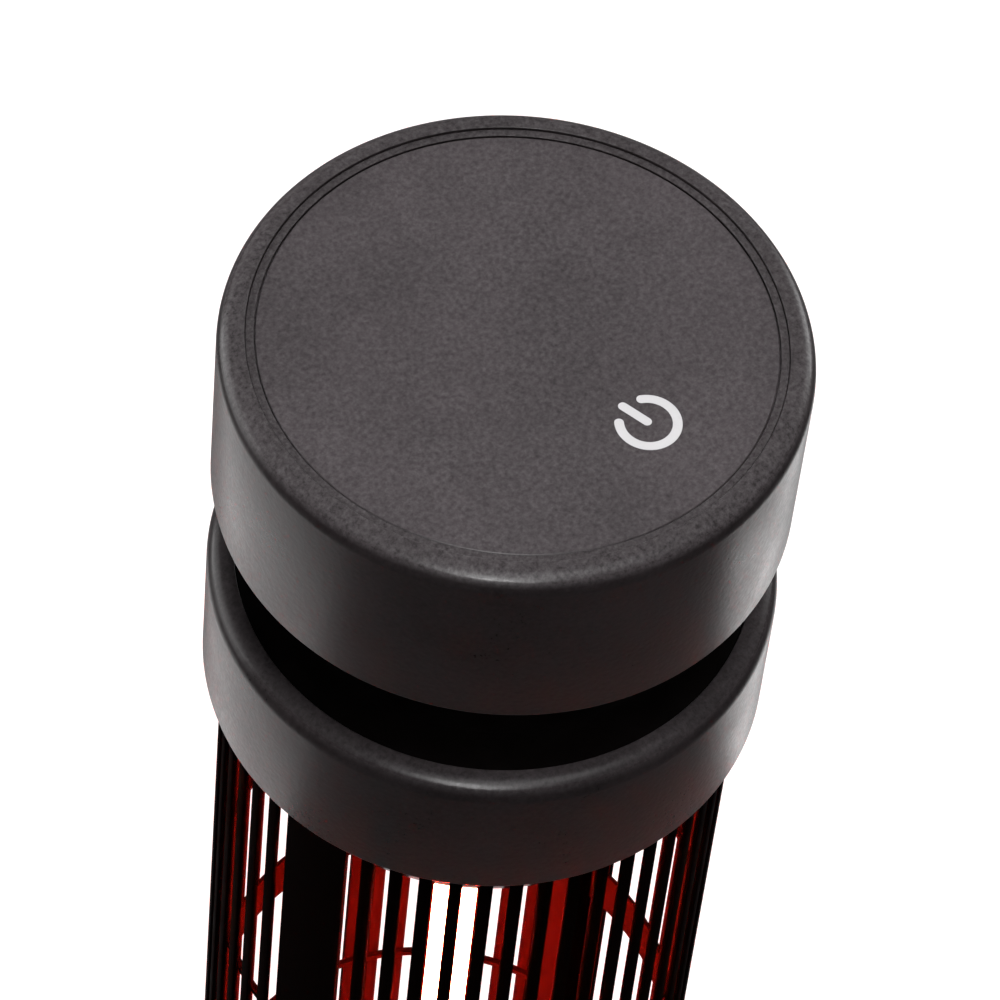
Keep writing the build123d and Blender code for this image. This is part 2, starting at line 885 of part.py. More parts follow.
def base_shell():
    """Outer drum of the base, with a flat pad for the gland at the back."""
    shell = drum_shell(plate_top, base_top, base_rim_round, base_mouth, base_seat_depth)
    posts, pilots = bosses(plate_top, base_ledge_low, base_screw_length
                           - base_plate_thickness + screw_head_height + pilot_extra)
    shell = shell + posts - pilots
    for side, x, y in post_screw_places():
        shell -= disc(clear_radius, base_ledge_low - cut_margin, base_seat + cut_margin, x, y)
    shell -= channel(-1, base_ledge_low - cut_margin, base_seat + cut_margin)
    shell += gland_cylinder(gland_pad_radius, gland_pad_inner, gland_pad_outer)
    shell -= gland_cylinder(gland_thread_radius + gland_hole_clearance,
                            gland_pad_inner - cut_margin, gland_pad_outer + cut_margin)
    return shell


def base_deck():
    """Plate under the cage that carries the lower lamp holder."""
    plate = disc(deck_radius, base_seat, deck_top)
    holes = holder_screw_places() + [(x, y) for side, x, y in post_screw_places()]
    for x, y in holes:
        plate -= disc(clear_radius, base_seat - cut_margin, deck_top + cut_margin, x, y)
    plate -= disc(lead_hole_radius, base_seat - cut_margin, deck_top + cut_margin)
    plate -= channel(-1, base_seat - cut_margin, deck_top + cut_margin)
    return plate


def foot_places():
    """Rubber feet under the base plate."""
    return [around(foot_circle, 360 / foot_count * index) for index in range(foot_count)]


def fixing_places():
    """Screws that hold the tip-over frame and the terminal block on the base plate."""
    ear = tip_frame_width / 2 + tip_ear_length / 2
    across = block_size[1] / 2 - screw_head_radius - block_wall
    places = [(tip_distance - ear, 0.0), (tip_distance + ear, 0.0)]
    return places + [(-block_distance, side * across) for side in (-1, 1)]


def base_plate():
    """Heavy round plate that the heater stands on."""
    plate = disc(base_plate_radius, plate_low, plate_top)
    plate = fillet(plate.edges().group_by(Axis.Z)[-1], base_plate_round)
    counterbore = plate_low + screw_head_height + hole_clearance
    for angle in boss_angles:
        x, y = around(boss_circle, angle)
        plate -= disc(screw_head_radius + hole_clearance, plate_low - cut_margin, counterbore, x, y)
        plate -= disc(clear_radius, plate_low - cut_margin, plate_top + cut_margin, x, y)
    for x, y in foot_places():
        plate -= disc(foot_spigot_radius + foot_spigot_clearance, plate_low - cut_margin,
                      plate_low + foot_spigot_height + hole_clearance, x, y)
    for x, y in fixing_places():
        depth = fixing_screw_length - tip_frame_sheet + pilot_extra
        plate -= disc(pilot_radius, plate_top - depth, plate_top + cut_margin, x, y)
    return plate


def rubber_feet():
    """Round feet with a spigot in the base plate."""
    return [disc(foot_radius, 0, plate_low, x, y)
            + disc(foot_spigot_radius, plate_low - joint_depth, plate_low + foot_spigot_height, x, y)
            for x, y in foot_places()]


def base_screws():
    """Screws from under the base plate into the bosses of the base."""
    return boss_screws(base_screw_length, plate_low + screw_head_height + hole_clearance)


def cable_gland():
    """Body of the gland: hexagon outside the pad, thread through it."""
    hexagon = extrude(RegularPolygon(gland_hex_radius, 6), gland_hex_length)
    hexagon = Pos(0, gland_pad_outer + gland_hex_length, gland_height) * Rot(
        90, 0, 0) * hexagon
    back = gland_pad_outer + gland_hex_length + gland_cap_length - gland_cap_wall
    thread = gland_cylinder(gland_thread_radius, gland_pad_inner - gland_nut_length - gland_thread_reach,
                             back)
    bore = gland_cylinder(gland_bore_radius, gland_pad_inner - gland_nut_length - 2 * cut_margin,
                          gland_pad_outer + gland_hex_length)
    seal_space = gland_cylinder(gland_bore_radius + gland_seal_wall,
                                gland_pad_outer + gland_hex_length - gland_seal_lap,
                                back + cut_margin)
    return hexagon + thread - bore - seal_space


def gland_cap():
    """Cap nut that squeezes the seal."""
    front = gland_pad_outer + gland_hex_length
    back = front + gland_cap_length
    cap = gland_cylinder(gland_cap_radius, front, back)
    cap = fillet(cap.edges().group_by(Axis.Y)[-1], gland_cap_round)
    cap -= gland_cylinder(gland_thread_radius + thread_clearance, front - cut_margin,
                          back - gland_cap_wall)
    return cap - gland_cylinder(gland_bore_radius, front, back + cut_margin)


def gland_nut():
    """Lock nut inside the base."""
    nut = extrude(RegularPolygon(gland_hex_radius, 6), gland_nut_length)
    nut = Pos(0, gland_pad_inner, gland_height) * Rot(90, 0, 0) * nut
    return nut - gland_cylinder(gland_thread_radius + thread_clearance,
                                gland_pad_inner - gland_nut_length - cut_margin,
                                gland_pad_inner + cut_margin)


def gland_seal():
    """Rubber sleeve inside the gland."""
    front = gland_pad_outer + gland_hex_length - gland_seal_lap
    back = gland_pad_outer + gland_hex_length + gland_cap_length - gland_cap_wall
    sleeve = gland_cylinder(gland_bore_radius + gland_seal_wall - thread_clearance, front, back)
    return sleeve - gland_cylinder(gland_bore_radius, front - cut_margin, back + cut_margin)


def terminal_block():
    """Block on the base plate where the supply joins the inner wires."""
    body = block(-block_distance - block_size[0] / 2, -block_distance + block_size[0] / 2,
                 -block_size[1] / 2, block_size[1] / 2, plate_top, plate_top + block_size[2])
    for x, y in fixing_places():
        if x < 0:
            body -= disc(screw_head_radius + hole_clearance, plate_top + tip_frame_sheet,
                         plate_top + block_size[2] + cut_margin, x, y)
            body -= disc(clear_radius, plate_top - cut_margin, plate_top + block_size[2] + cut_margin, x, y)
    return body


def fixing_screws():
    """Screws of the tip-over frame and the terminal block."""
    return [screw_down(fixing_screw_length, x, y, plate_top + tip_frame_sheet)
            for x, y in fixing_places()]


def tube_along(points, radius, bend):
    """Round wire along straight runs with a bend at each corner."""
    path = FilletPolyline(*points, radius=bend)
    start = Plane(origin=path @ 0, z_dir=path % 0)
    return sweep(start * Circle(radius), path)


def supply_wires():
    """Wires from the terminal block, up the left post and the neck, to the control board."""
    low = plate_top + wire_exit_height
    bend_level = collar_floor_top + collar_wire_height
    board_level = cap_floor_top + standoff_height + board_thickness + terminal_size[2] / 2
    wires = []
    for index in range(wire_count):
        y = (index - (wire_count - 1) / 2) * wire_pitch
        wires.append(tube_along([(-block_distance - block_size[0] / 2, y, low),
                                 (-channel_middle, y, low),
                                 (-channel_middle, y, bend_level),
                                 (-neck_wire_offset, y, bend_level),
                                 (-neck_wire_offset, y, board_level),
                                 (control_board_left, y, board_level)],
                                wire_radius, wire_bend))
    return wires


def tip_bracket():
    """Frame of the tip-over switch, with a slot that stops the pendulum."""
    sheet = tip_frame_sheet
    half = tip_frame_width / 2
    gap = tip_frame_gap / 2
    pin_level = plate_top + tip_pin_height
    bridge_low = pin_level + tip_bridge_low
    bridge_top = bridge_low + sheet
    left = tip_distance - half
    right = tip_distance + half
    frame = block(left - tip_ear_length, right + tip_ear_length, -gap - sheet, gap + sheet,
                  plate_top, plate_top + sheet)
    for side in (-1, 1):
        inner = side * gap
        outer = side * (gap + sheet)
        frame += block(left, right, min(inner, outer), max(inner, outer),
                       plate_top, bridge_top)
    frame += block(left, right, -gap, gap, bridge_low, bridge_top)
    reach = (tip_bridge_low + sheet) * tan(radians(tip_swing))
    slot = reach + tip_finger_width / 2 / cos(radians(tip_swing)) + tip_stop_clearance
    frame -= block(tip_distance - slot, tip_distance + slot, -gap + sheet, gap - sheet,
                   bridge_low - cut_margin, bridge_top + cut_margin)
    frame -= tip_cylinder(tip_pin_radius, -gap - sheet - cut_margin, gap + sheet + cut_margin)
    for x, y in fixing_places():
        if x > 0:
            frame -= disc(clear_radius, plate_top - cut_margin, plate_top + sheet + cut_margin, x, y)
    return frame


def tip_cylinder(radius, front, back):
    """Cylinder on the axis of the pendulum's pin."""
    return Pos(tip_distance, (front + back) / 2, plate_top + tip_pin_height) * Rot(
        90, 0, 0) * Cylinder(radius, back - front)


def tip_pin():
    """Pin that the pendulum swings on."""
    outer = tip_frame_gap / 2 + tip_frame_sheet
    pin = tip_cylinder(tip_pin_radius, -outer, outer + tip_pin_reach)
    return pin + tip_cylinder(tip_pin_head_radius, -outer - tip_pin_reach, -outer)


def tip_pendulum():
    """Weight on an arm, with a finger above the pin that the frame's slot stops."""
    pin_level = plate_top + tip_pin_height
    bob_top = pin_level - tip_bob_drop
    bob_low = bob_top - tip_bob_height
    body = disc(tip_bob_radius, bob_low, bob_top, tip_distance)
    body += block(tip_distance - tip_arm_width / 2, tip_distance + tip_arm_width / 2,
                  -tip_arm_width, tip_arm_width, bob_top - cut_margin, pin_level)
    body += block(tip_distance - tip_finger_width / 2, tip_distance + tip_finger_width / 2,
                  -tip_arm_width, tip_arm_width, pin_level, pin_level + tip_finger_top)
    body += tip_cylinder(tip_hub_radius, -tip_hub_length / 2, tip_hub_length / 2)
    body -= tip_cylinder(tip_pin_radius + tip_running_fit, -tip_hub_length, tip_hub_length)
    body -= disc(magnet_radius, bob_low - cut_margin, bob_low + magnet_height, tip_distance)
    return body


def tip_magnet():
    """Magnet in the foot of the pendulum."""
    bob_low = plate_top + tip_pin_height - tip_bob_drop - tip_bob_height
    return disc(magnet_radius, bob_low, bob_low + magnet_height, tip_distance)


def tip_sensor():
    """Small board that feels the magnet while the heater stands upright."""
    low = plate_top + tip_frame_sheet
    board = block(tip_distance - tip_sensor_size[0] / 2, tip_distance + tip_sensor_size[0] / 2,
                  -tip_sensor_size[1] / 2, tip_sensor_size[1] / 2, low,
                  low + tip_sensor_size[2])
    top = low + tip_sensor_size[2]
    chip = block(tip_distance - sensor_chip_size[0] / 2, tip_distance + sensor_chip_size[0] / 2,
                 -sensor_chip_size[1] / 2, sensor_chip_size[1] / 2, top - joint_depth,
                 top + sensor_chip_size[2])
    return board + chip


def lamp_leads():
    """Leads from the two lamp contacts to the terminal block and to the control board."""
    block_level = plate_top + wire_exit_height
    board_level = cap_floor_top + standoff_height + board_thickness + terminal_size[2] / 2
    shift_level = collar_floor_top + collar_wire_height
    lower = tube_along([(0, 0, lower_socket), (0, 0, block_level),
                        (block_size[0] / 2 - block_distance, 0, block_level)],
                       lead_radius, lead_bend)
    upper = tube_along([(0, 0, upper_socket), (0, 0, shift_level),
                        (0, -lead_offset, shift_level + lead_shift_height),
                        (0, -lead_offset, board_level),
                        (control_board_left, -lead_offset, board_level)],
                       lead_radius, [lead_bend, lead_bend, lead_end_bend])
    return [lower, upper]


save(cap_shell(), "cap_shell")
save(trim_ring(), "trim_ring")
save(touch_panel(), "touch_panel")
save(symbol_solids(panel_top - inlay_depth, panel_top), "power_symbol")
save(sensor_board(), "sensor_board")
save(touch_electrode(), "touch_electrode")
save(sensor_screws(), "sensor_screws")
save(cap_floor(), "cap_floor")
save(boss_screws(floor_screw_length, cap_floor_low)
     + boss_screws(floor_screw_length, collar_floor_low), "floor_screws")
save(control_board(), "control_board")
save(board_standoffs(), "board_standoffs")
save(board_screws(), "board_screws")
save(wire_terminal(), "wire_terminal")
save(power_relay(), "power_relay")
save(supply_module(), "supply_module")
save(triac_heatsink(), "triac_heatsink")
save(neck_tube(), "neck_tube")
save(neck_screws(), "neck_screws")
save(neck_gasket(), "neck_gasket")
save(collar_shell(), "collar_shell")
save(collar_dish(), "collar_dish")
save(collar_floor(), "collar_floor")
save(thermal_cutout(), "thermal_cutout")
save(upper_heat_shield(), "upper_heat_shield")
save(shield_spacers(), "shield_spacers")
save(shield_screws(), "shield_screws")
save(ceramic_blanket(), "ceramic_blanket")
save(lamp_holder(deck_top, 1), "lower_lamp_holder")
save(lamp_holder(shield_low, -1), "upper_lamp_holder")
save(holder_screws(), "holder_screws")
save(lamp_cap(lower_cap_end, 1), "lower_lamp_cap")
save(lamp_cap(upper_cap_end, -1), "upper_lamp_cap")
save(contact_discs(), "contact_discs")
save(quartz_tube(), "quartz_tube")
save(carbon_emitter(), "carbon_emitter")
save(emitter_clamps(), "emitter_clamps")
save(grille_half(-90), "front_grille")
save(grille_half(90), "rear_grille")
save(mid_band(), "mid_band")
save(post(-1), "left_post")
save(post(1), "right_post")
save(post_screws(), "post_screws")
save(base_shell(), "base_shell")
save(base_deck(), "base_deck")
save(base_plate(), "base_plate")
save(rubber_feet(), "rubber_feet")
save(base_screws(), "base_screws")
save(cable_gland(), "cable_gland")
save(gland_cap(), "gland_cap")
save(gland_nut(), "gland_nut")
save(gland_seal(), "gland_seal")
save(terminal_block(), "terminal_block")
save(fixing_screws(), "fixing_screws")
save(supply_wires(), "supply_wires")
save(lamp_leads(), "lamp_leads")
save(tip_bracket(), "tip_bracket")
save(tip_pendulum(), "tip_pendulum")
save(tip_pin(), "tip_pin")
save(tip_magnet(), "tip_magnet")
save(tip_sensor(), "tip_sensor")
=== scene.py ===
import bpy
import bmesh
import json
from math import acos, cos, pi, radians, sin
from mathutils import Matrix, Vector


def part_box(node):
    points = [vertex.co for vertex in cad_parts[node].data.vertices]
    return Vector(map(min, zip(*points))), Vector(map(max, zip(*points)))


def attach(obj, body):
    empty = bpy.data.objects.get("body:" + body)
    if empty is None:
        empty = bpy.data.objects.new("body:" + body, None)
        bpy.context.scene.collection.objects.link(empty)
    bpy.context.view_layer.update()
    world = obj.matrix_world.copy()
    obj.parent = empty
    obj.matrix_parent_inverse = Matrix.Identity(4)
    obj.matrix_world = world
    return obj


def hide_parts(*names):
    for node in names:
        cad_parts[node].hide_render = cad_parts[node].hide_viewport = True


bl_info = {
    "name": "Under-table heater",
    "version": (1, 0, 0),
    "blender": (4, 5, 0),
    "location": "3D View > Sidebar > Heater",
    "description": "Dresses the heater's frame with its coats, cage, lamp and studio",
    "category": "Object",
}

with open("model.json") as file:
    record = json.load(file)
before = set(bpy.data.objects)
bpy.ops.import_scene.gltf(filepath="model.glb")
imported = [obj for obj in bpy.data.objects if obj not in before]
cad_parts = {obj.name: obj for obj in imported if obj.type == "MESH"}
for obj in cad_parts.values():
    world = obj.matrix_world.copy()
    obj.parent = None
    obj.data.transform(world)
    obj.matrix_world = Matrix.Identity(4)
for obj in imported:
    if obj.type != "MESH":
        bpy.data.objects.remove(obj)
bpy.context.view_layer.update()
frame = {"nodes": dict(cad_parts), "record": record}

# Levels and radii read from the frame, in metres
DRUM_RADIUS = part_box("cap_shell")[1].x
CAP_LOW, CAP_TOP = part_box("cap_shell")[0].z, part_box("cap_shell")[1].z
COLLAR_LOW, COLLAR_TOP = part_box("collar_shell")[0].z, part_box("collar_shell")[1].z
BASE_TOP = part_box("base_shell")[1].z
PLATE_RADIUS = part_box("base_plate")[1].x
PLATE_LOW, PLATE_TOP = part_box("base_plate")[0].z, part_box("base_plate")[1].z
TRIM_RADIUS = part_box("trim_ring")[1].x
TRIM_LOW, TRIM_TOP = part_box("trim_ring")[0].z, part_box("trim_ring")[1].z
PANEL_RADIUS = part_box("touch_panel")[1].x
PANEL_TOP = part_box("touch_panel")[1].z
DISH_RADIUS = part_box("collar_dish")[1].x
DISH_LOW, DISH_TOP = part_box("collar_dish")[0].z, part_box("collar_dish")[1].z
CAGE_RADIUS = -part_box("front_grille")[0].y
CAGE_LOW, CAGE_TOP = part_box("right_post")[0].z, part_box("right_post")[1].z
BAND_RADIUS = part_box("mid_band")[1].x
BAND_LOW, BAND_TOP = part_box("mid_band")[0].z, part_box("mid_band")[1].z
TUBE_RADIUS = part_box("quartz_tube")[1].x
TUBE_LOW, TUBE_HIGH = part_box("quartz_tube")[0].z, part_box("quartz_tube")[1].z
CAGE_MIDDLE = (COLLAR_LOW + BASE_TOP) / 2

# How close vertices are merged and rings are found, and how far joined pieces overlap
MERGE_DISTANCE = 1e-7
RING_TOLERANCE = 2e-5
OVERLAP = 0.001

# Steps across the rounds, and the screw bosses of a drum
RIM_SEGMENTS, LIP_SEGMENTS, EDGE_SEGMENTS = 14, 4, 5
BOSS_COUNT, FIRST_BOSS = 4, radians(45)

# Worn crowns, dust and painted light, and where the tube starts to glow and glows in full from
# each end
WEAR_INSET, WEAR_WIDTH = 0.0019, 0.0012
# Painted shade: share of the dust, and of its painted top light, kept below the cap
UNDER_CAP_SHADE_SHARE = 0.3
# Dust colour of the plainer finishes; on what faces up it also paints the tops lighter, a
# painted top light
GREY_DUST_AND_TOP_LIGHT = (0.30, 0.29, 0.28)
COLD_END, WARM_END = 0.010, 0.022

# What the floor and the surroundings give the rays that show the background, and the others
FLOOR_SEEN, FLOOR_WHITE = 0.55, 0.86
FLOOR_OTHER_LOW, FLOOR_OTHER_HIGH = 0.42, 0.44
WHITE_BELOW, SOFT_ABOVE = 0.25, 0.45

# Lights: name, size, way from the axis (right, away, up), whether it faces straight up,
# and whether it gives more than highlights
LIGHTS = (
    ("left", 0.8, (-1.1, 0.26, 0.75), False, True),
    ("right", 0.5, (0.95, 0.95, 0.75), False, True),
    ("near", 0.35, (0.0, -0.9, CAP_LOW + 0.95), False, False),
    ("top", 0.6, (0.3, -0.4, 1.9), False, True),
    ("back", 1.2, (0.0, 1.1, 1.9), False, True),
    ("low_left", 0.6, (-0.55, 0.08, 0.02), True, True),
    ("low_right", 0.4, (0.48, 0.3, 0.02), True, True),
)


class HeaterShape(bpy.types.PropertyGroup):
    """Sizes that the pieces are modelled with"""
    steps: bpy.props.IntProperty(name="Steps", description="Steps round a drum", default=192)
    wall: bpy.props.FloatProperty(
        name="Wall", description="Drum wall", default=0.002, unit="LENGTH")
    rim_round: bpy.props.FloatProperty(
        name="Rim", description="Crown of the rims", default=0.0064, unit="LENGTH")
    lip_round: bpy.props.FloatProperty(
        name="Lip", description="Round at the seam", default=0.00025, unit="LENGTH")
    edge_round: bpy.props.FloatProperty(
        name="Lower edge", description="Round of the lower edges", default=0.0008,
        unit="LENGTH")
    seam: bpy.props.FloatProperty(
        name="Seam", description="How much wider a mouth is than the ring", default=0.000175,
        unit="LENGTH")
    groove: bpy.props.FloatProperty(
        name="Groove", description="Depth of the seams beside the trim ring", default=0.0010,
        unit="LENGTH")
    step: bpy.props.FloatProperty(
        name="Step", description="Most that the trim ring stands above the panel",
        default=0.0002, unit="LENGTH")
    ledge_radius: bpy.props.FloatProperty(
        name="Ledge", description="Inner radius of the ledges", default=0.066, unit="LENGTH")
    ledge_thickness: bpy.props.FloatProperty(
        name="Ledge thickness", description="Thickness of the ledges", default=0.0025,
        unit="LENGTH")
    dish_sheet: bpy.props.FloatProperty(
        name="Dish sheet", description="Thickness of the dished plate", default=0.0015,
        unit="LENGTH")
    boss_circle: bpy.props.FloatProperty(
        name="Boss circle", description="Radius of the boss circle", default=0.0735,
        unit="LENGTH")
    boss_radius: bpy.props.FloatProperty(
        name="Boss", description="Radius of a screw boss", default=0.0045, unit="LENGTH")
    bar_width: bpy.props.FloatProperty(
        name="Bar", description="Width of a cage bar", default=0.004, unit="LENGTH")
    bar_depth: bpy.props.FloatProperty(
        name="Bar depth", description="Depth of a cage bar", default=0.002, unit="LENGTH")
    bar_round: bpy.props.FloatProperty(
        name="Bar edge", description="Round of the bars' edges", default=0.0005,
        unit="LENGTH")
    pitches: bpy.props.IntProperty(
        name="Pitches", description="Bar places round the cage", default=54)
    hoop_spacing: bpy.props.FloatProperty(
        name="Hoops", description="Distance between the two hoops", default=0.165,
        unit="LENGTH")
    hoop_height: bpy.props.FloatProperty(
        name="Hoop height", description="Height of a hoop", default=0.0024, unit="LENGTH")
    hoop_depth: bpy.props.FloatProperty(
        name="Hoop depth", description="Depth of a hoop", default=0.0018, unit="LENGTH")


class HeaterFinish(bpy.types.PropertyGroup):
    """Colours of the finishes, in linear light"""
    coat: bpy.props.FloatVectorProperty(
        name="Coat", description="Dark powder coat", default=(0.0140, 0.0112, 0.0118),
        subtype="COLOR")
    panel: bpy.props.FloatVectorProperty(
        name="Panel", description="Touch panel", default=(0.0300, 0.0245, 0.0265),
        subtype="COLOR")
    # Dust colour; on what faces up it also paints the tops lighter, a painted top light
    dust_and_top_light: bpy.props.FloatVectorProperty(
        name="Dust", description="Film of dust on what faces up", default=(0.42, 0.385, 0.40),
        subtype="COLOR")
    symbol: bpy.props.FloatVectorProperty(
        name="Symbol", description="White inlay", default=(0.55, 0.54, 0.55),
        subtype="COLOR")
    enamel: bpy.props.FloatVectorProperty(
        name="Enamel", description="Black heat-proof enamel", default=(0.0016, 0.0007, 0.0006),
        subtype="COLOR")
    glow: bpy.props.FloatVectorProperty(
        name="Glow", description="Light of the lamp", default=(1.0, 0.03, 0.015),
        subtype="COLOR")
    glow_strength: bpy.props.FloatProperty(
        name="Glow strength", description="Strength of the lamp", default=400.0)


class HeaterStudio(bpy.types.PropertyGroup):
    """Camera and lights"""
    azimuth: bpy.props.FloatProperty(
        name="Azimuth", description="Camera round the heater", default=radians(-56.67),
        subtype="ANGLE")
    elevation: bpy.props.FloatProperty(
        name="Elevation", description="Camera above the horizon", default=radians(53.75),
        subtype="ANGLE")
    roll: bpy.props.FloatProperty(
        name="Roll", description="Tilt of the picture", default=radians(6.51),
        subtype="ANGLE")
    lens: bpy.props.FloatProperty(
        name="Lens", description="Focal length in millimetres", default=205.76)
    distance: bpy.props.FloatProperty(
        name="Distance", description="Camera to the plane of the aim", default=1.6108,
        unit="LENGTH")
    aim_right: bpy.props.FloatProperty(
        name="Aim right", description="Aim beside the panel's middle", default=-0.0051,
        unit="LENGTH")
    aim_down: bpy.props.FloatProperty(
        name="Aim down", description="Aim below the panel's middle", default=0.0450,
        unit="LENGTH")
    world_strength: bpy.props.FloatProperty(
        name="Surroundings", description="Strength of the soft surroundings", default=0.24)
    floor_gap: bpy.props.FloatProperty(
        name="Floor gap", description="Gap between the floor and the feet", default=0.0002,
        unit="LENGTH")
    left_energy: bpy.props.FloatProperty(
        name="Left light", description="Energy in watts", default=18.0)
    right_energy: bpy.props.FloatProperty(
        name="Right light", description="Energy in watts", default=10.0)
    top_energy: bpy.props.FloatProperty(
        name="Top light", description="Energy in watts", default=17.9)
    near_energy: bpy.props.FloatProperty(
        name="Near light", description="Energy in watts", default=40.0)
    back_energy: bpy.props.FloatProperty(
        name="Back light", description="Energy in watts", default=3.0)
    low_left_energy: bpy.props.FloatProperty(
        name="Low left light", description="Energy in watts", default=2.1)
    low_right_energy: bpy.props.FloatProperty(
        name="Low right light", description="Energy in watts", default=1.35)
    floor: bpy.props.FloatVectorProperty(
        name="Floor", description="Colour of the floor", default=(0.45, 0.45, 0.45),
        subtype="COLOR")


# Node helpers


def add(tree, kind, **settings):
    """New node with its settings."""
    node = tree.nodes.new(kind)
    for key, value in settings.items():
        setattr(node, key, value)
    return node


def feed(tree, value, socket):
    """Link a socket, or write a plain value."""
    if isinstance(value, bpy.types.NodeSocket):
        tree.links.new(value, socket)
    else:
        socket.default_value = value


def calc(tree, operation, *values):
    """Math node."""
    node = add(tree, "ShaderNodeMath", operation=operation)
    for value, socket in zip(values, node.inputs):
        feed(tree, value, socket)
    return node.outputs[0]


def hypotenuse(tree, first, second):
    """Length of the long side over two sides at a right angle."""
    squares = [calc(tree, "MULTIPLY", side, side) for side in (first, second)]
    return calc(tree, "SQRT", calc(tree, "ADD", *squares))


def remap(tree, value, low, high, to_low=0.0, to_high=1.0):
    """Clamped linear change of range."""
    node = add(tree, "ShaderNodeMapRange")
    for item, socket in zip((value, low, high, to_low, to_high), node.inputs):
        feed(tree, item, socket)
    return node.outputs[0]


def noise(tree, vector, scale, detail=2.0, roughness=0.5):
    """Noise factor."""
    node = add(tree, "ShaderNodeTexNoise")
    feed(tree, vector, node.inputs["Vector"])
    feed(tree, scale, node.inputs["Scale"])
    node.inputs["Detail"].default_value = detail
    node.inputs["Roughness"].default_value = roughness
    return node.outputs["Fac"]


def blend(tree, factor, first, second):
    """Colour mix."""
    node = add(tree, "ShaderNodeMix", data_type="RGBA")
    feed(tree, factor, node.inputs[0])
    for value, socket in ((first, node.inputs[6]), (second, node.inputs[7])):
        if not isinstance(value, bpy.types.NodeSocket):
            value = (*value[:3], 1.0)
        feed(tree, value, socket)
    return node.outputs[2]


def split(tree, vector):
    """X, Y and Z of a vector."""
    node = add(tree, "ShaderNodeSeparateXYZ")
    feed(tree, vector, node.inputs[0])
    return node.outputs


def new_group(name, inputs, outputs):
    """Empty shader group with named sockets."""
    tree = bpy.data.node_groups.new(name, "ShaderNodeTree")
    for label, kind, default in inputs:
        socket = tree.interface.new_socket(name=label, in_out="INPUT", socket_type=kind)
        if default is not None:
            socket.default_value = default
    for label, kind in outputs:
        tree.interface.new_socket(name=label, in_out="OUTPUT", socket_type=kind)
    return tree, add(tree, "NodeGroupInput").outputs, add(tree, "NodeGroupOutput").inputs


VALUE = "NodeSocketFloat"
VECTOR = "NodeSocketVector"


def grain_group():
    """Fine grain of a coat: tone, roughness variation and height."""
    tree, given, result = new_group(
        "Coat Grain",
        [("Vector", VECTOR, None), ("Grain", VALUE, 0.0005), ("Mottle", VALUE, 0.02)],
        [("Tone", VALUE), ("Rough", VALUE), ("Height", VALUE)])
    fine = noise(tree, given["Vector"], calc(tree, "DIVIDE", 1.0, given["Grain"]), 3.0, 0.6)
    broad = noise(tree, given["Vector"], calc(tree, "DIVIDE", 1.0, given["Mottle"]), 3.0)
    cells = add(tree, "ShaderNodeTexVoronoi")
    feed(tree, given["Vector"], cells.inputs["Vector"])
    feed(tree, calc(tree, "DIVIDE", 0.7, given["Grain"]), cells.inputs["Scale"])
    peel = remap(tree, cells.outputs["Distance"], 0.0, 0.8)
    tone = calc(tree, "ADD", calc(tree, "MULTIPLY", fine, 0.5),
                calc(tree, "MULTIPLY", broad, 0.5))
    feed(tree, remap(tree, tone, 0.3, 0.7), result["Tone"])
    feed(tree, remap(tree, broad, 0.3, 0.7), result["Rough"])
    height = calc(tree, "ADD", calc(tree, "MULTIPLY", fine, 0.6),
                  calc(tree, "MULTIPLY", peel, 0.4))
    feed(tree, height, result["Height"])
    return tree


def rim_group():
    """Worn line along a round edge, given by its radius and height."""
    tree, given, result = new_group(
        "Rim Wear",
        [("Vector", VECTOR, None), ("Radius", VALUE, 0.08), ("Height", VALUE, 0.0),
         ("Width", VALUE, 0.001)],
        [("Mask", VALUE)])
    x, y, z = split(tree, given["Vector"])
    out = calc(tree, "SUBTRACT", hypotenuse(tree, x, y), given["Radius"])
    up = calc(tree, "SUBTRACT", z, given["Height"])
    apart = calc(tree, "DIVIDE", hypotenuse(tree, out, up), given["Width"])
    near = calc(tree, "SUBTRACT", 1.0, apart)
    patch = noise(tree, given["Vector"], 260.0, 4.0, 0.7)
    worn = calc(tree, "SUBTRACT", calc(tree, "ADD", near, patch), 0.95)
    feed(tree, remap(tree, worn, 0.0, 0.35), result["Mask"])
    return tree


def dust_and_top_light_group():
    """Dust that settles on what faces up; fading with the facing, it also paints the tops
    lighter as painted top light.
    """
    tree, given, result = new_group(
        "Settled Dust", [("Vector", VECTOR, None), ("Amount", VALUE, 0.2)],
        [("Mask", VALUE)])
    geometry = add(tree, "ShaderNodeNewGeometry")
    # Painted top light: full on what faces up, fading out towards the sides
    up = remap(tree, split(tree, geometry.outputs["Normal"])[2], 0.45, 0.85)
    film = remap(tree, noise(tree, given["Vector"], 30.0, 5.0, 0.65), 0.3, 0.7, 0.85, 1.15)
    grit = remap(tree, noise(tree, given["Vector"], 700.0, 3.0, 0.7), 0.3, 0.7, 0.25, 1.75)
    cover = calc(tree, "MULTIPLY", film, grit)
    feed(tree, calc(tree, "MULTIPLY", calc(tree, "MULTIPLY", cover, up), given["Amount"]),
         result["Mask"])
    return tree


def smudge_group():
    """Faint wiped marks that change how a touched surface shines."""
    tree, given, result = new_group(
        "Finger Smudges", [("Vector", VECTOR, None), ("Amount", VALUE, 0.5)],
        [("Rough", VALUE)])
    swirl = noise(tree, given["Vector"], 38.0, 4.0, 0.6)
    wipe = add(tree, "ShaderNodeTexWave", wave_type="BANDS", bands_direction="DIAGONAL")
    feed(tree, given["Vector"], wipe.inputs["Vector"])
    wipe.inputs["Scale"].default_value = 60.0
    wipe.inputs["Distortion"].default_value = 9.0
    wipe.inputs["Detail"].default_value = 3.0
    mark = calc(tree, "MULTIPLY", remap(tree, swirl, 0.48, 0.62), wipe.outputs["Fac"])
    feed(tree, calc(tree, "MULTIPLY", mark, given["Amount"]), result["Rough"])
    return tree


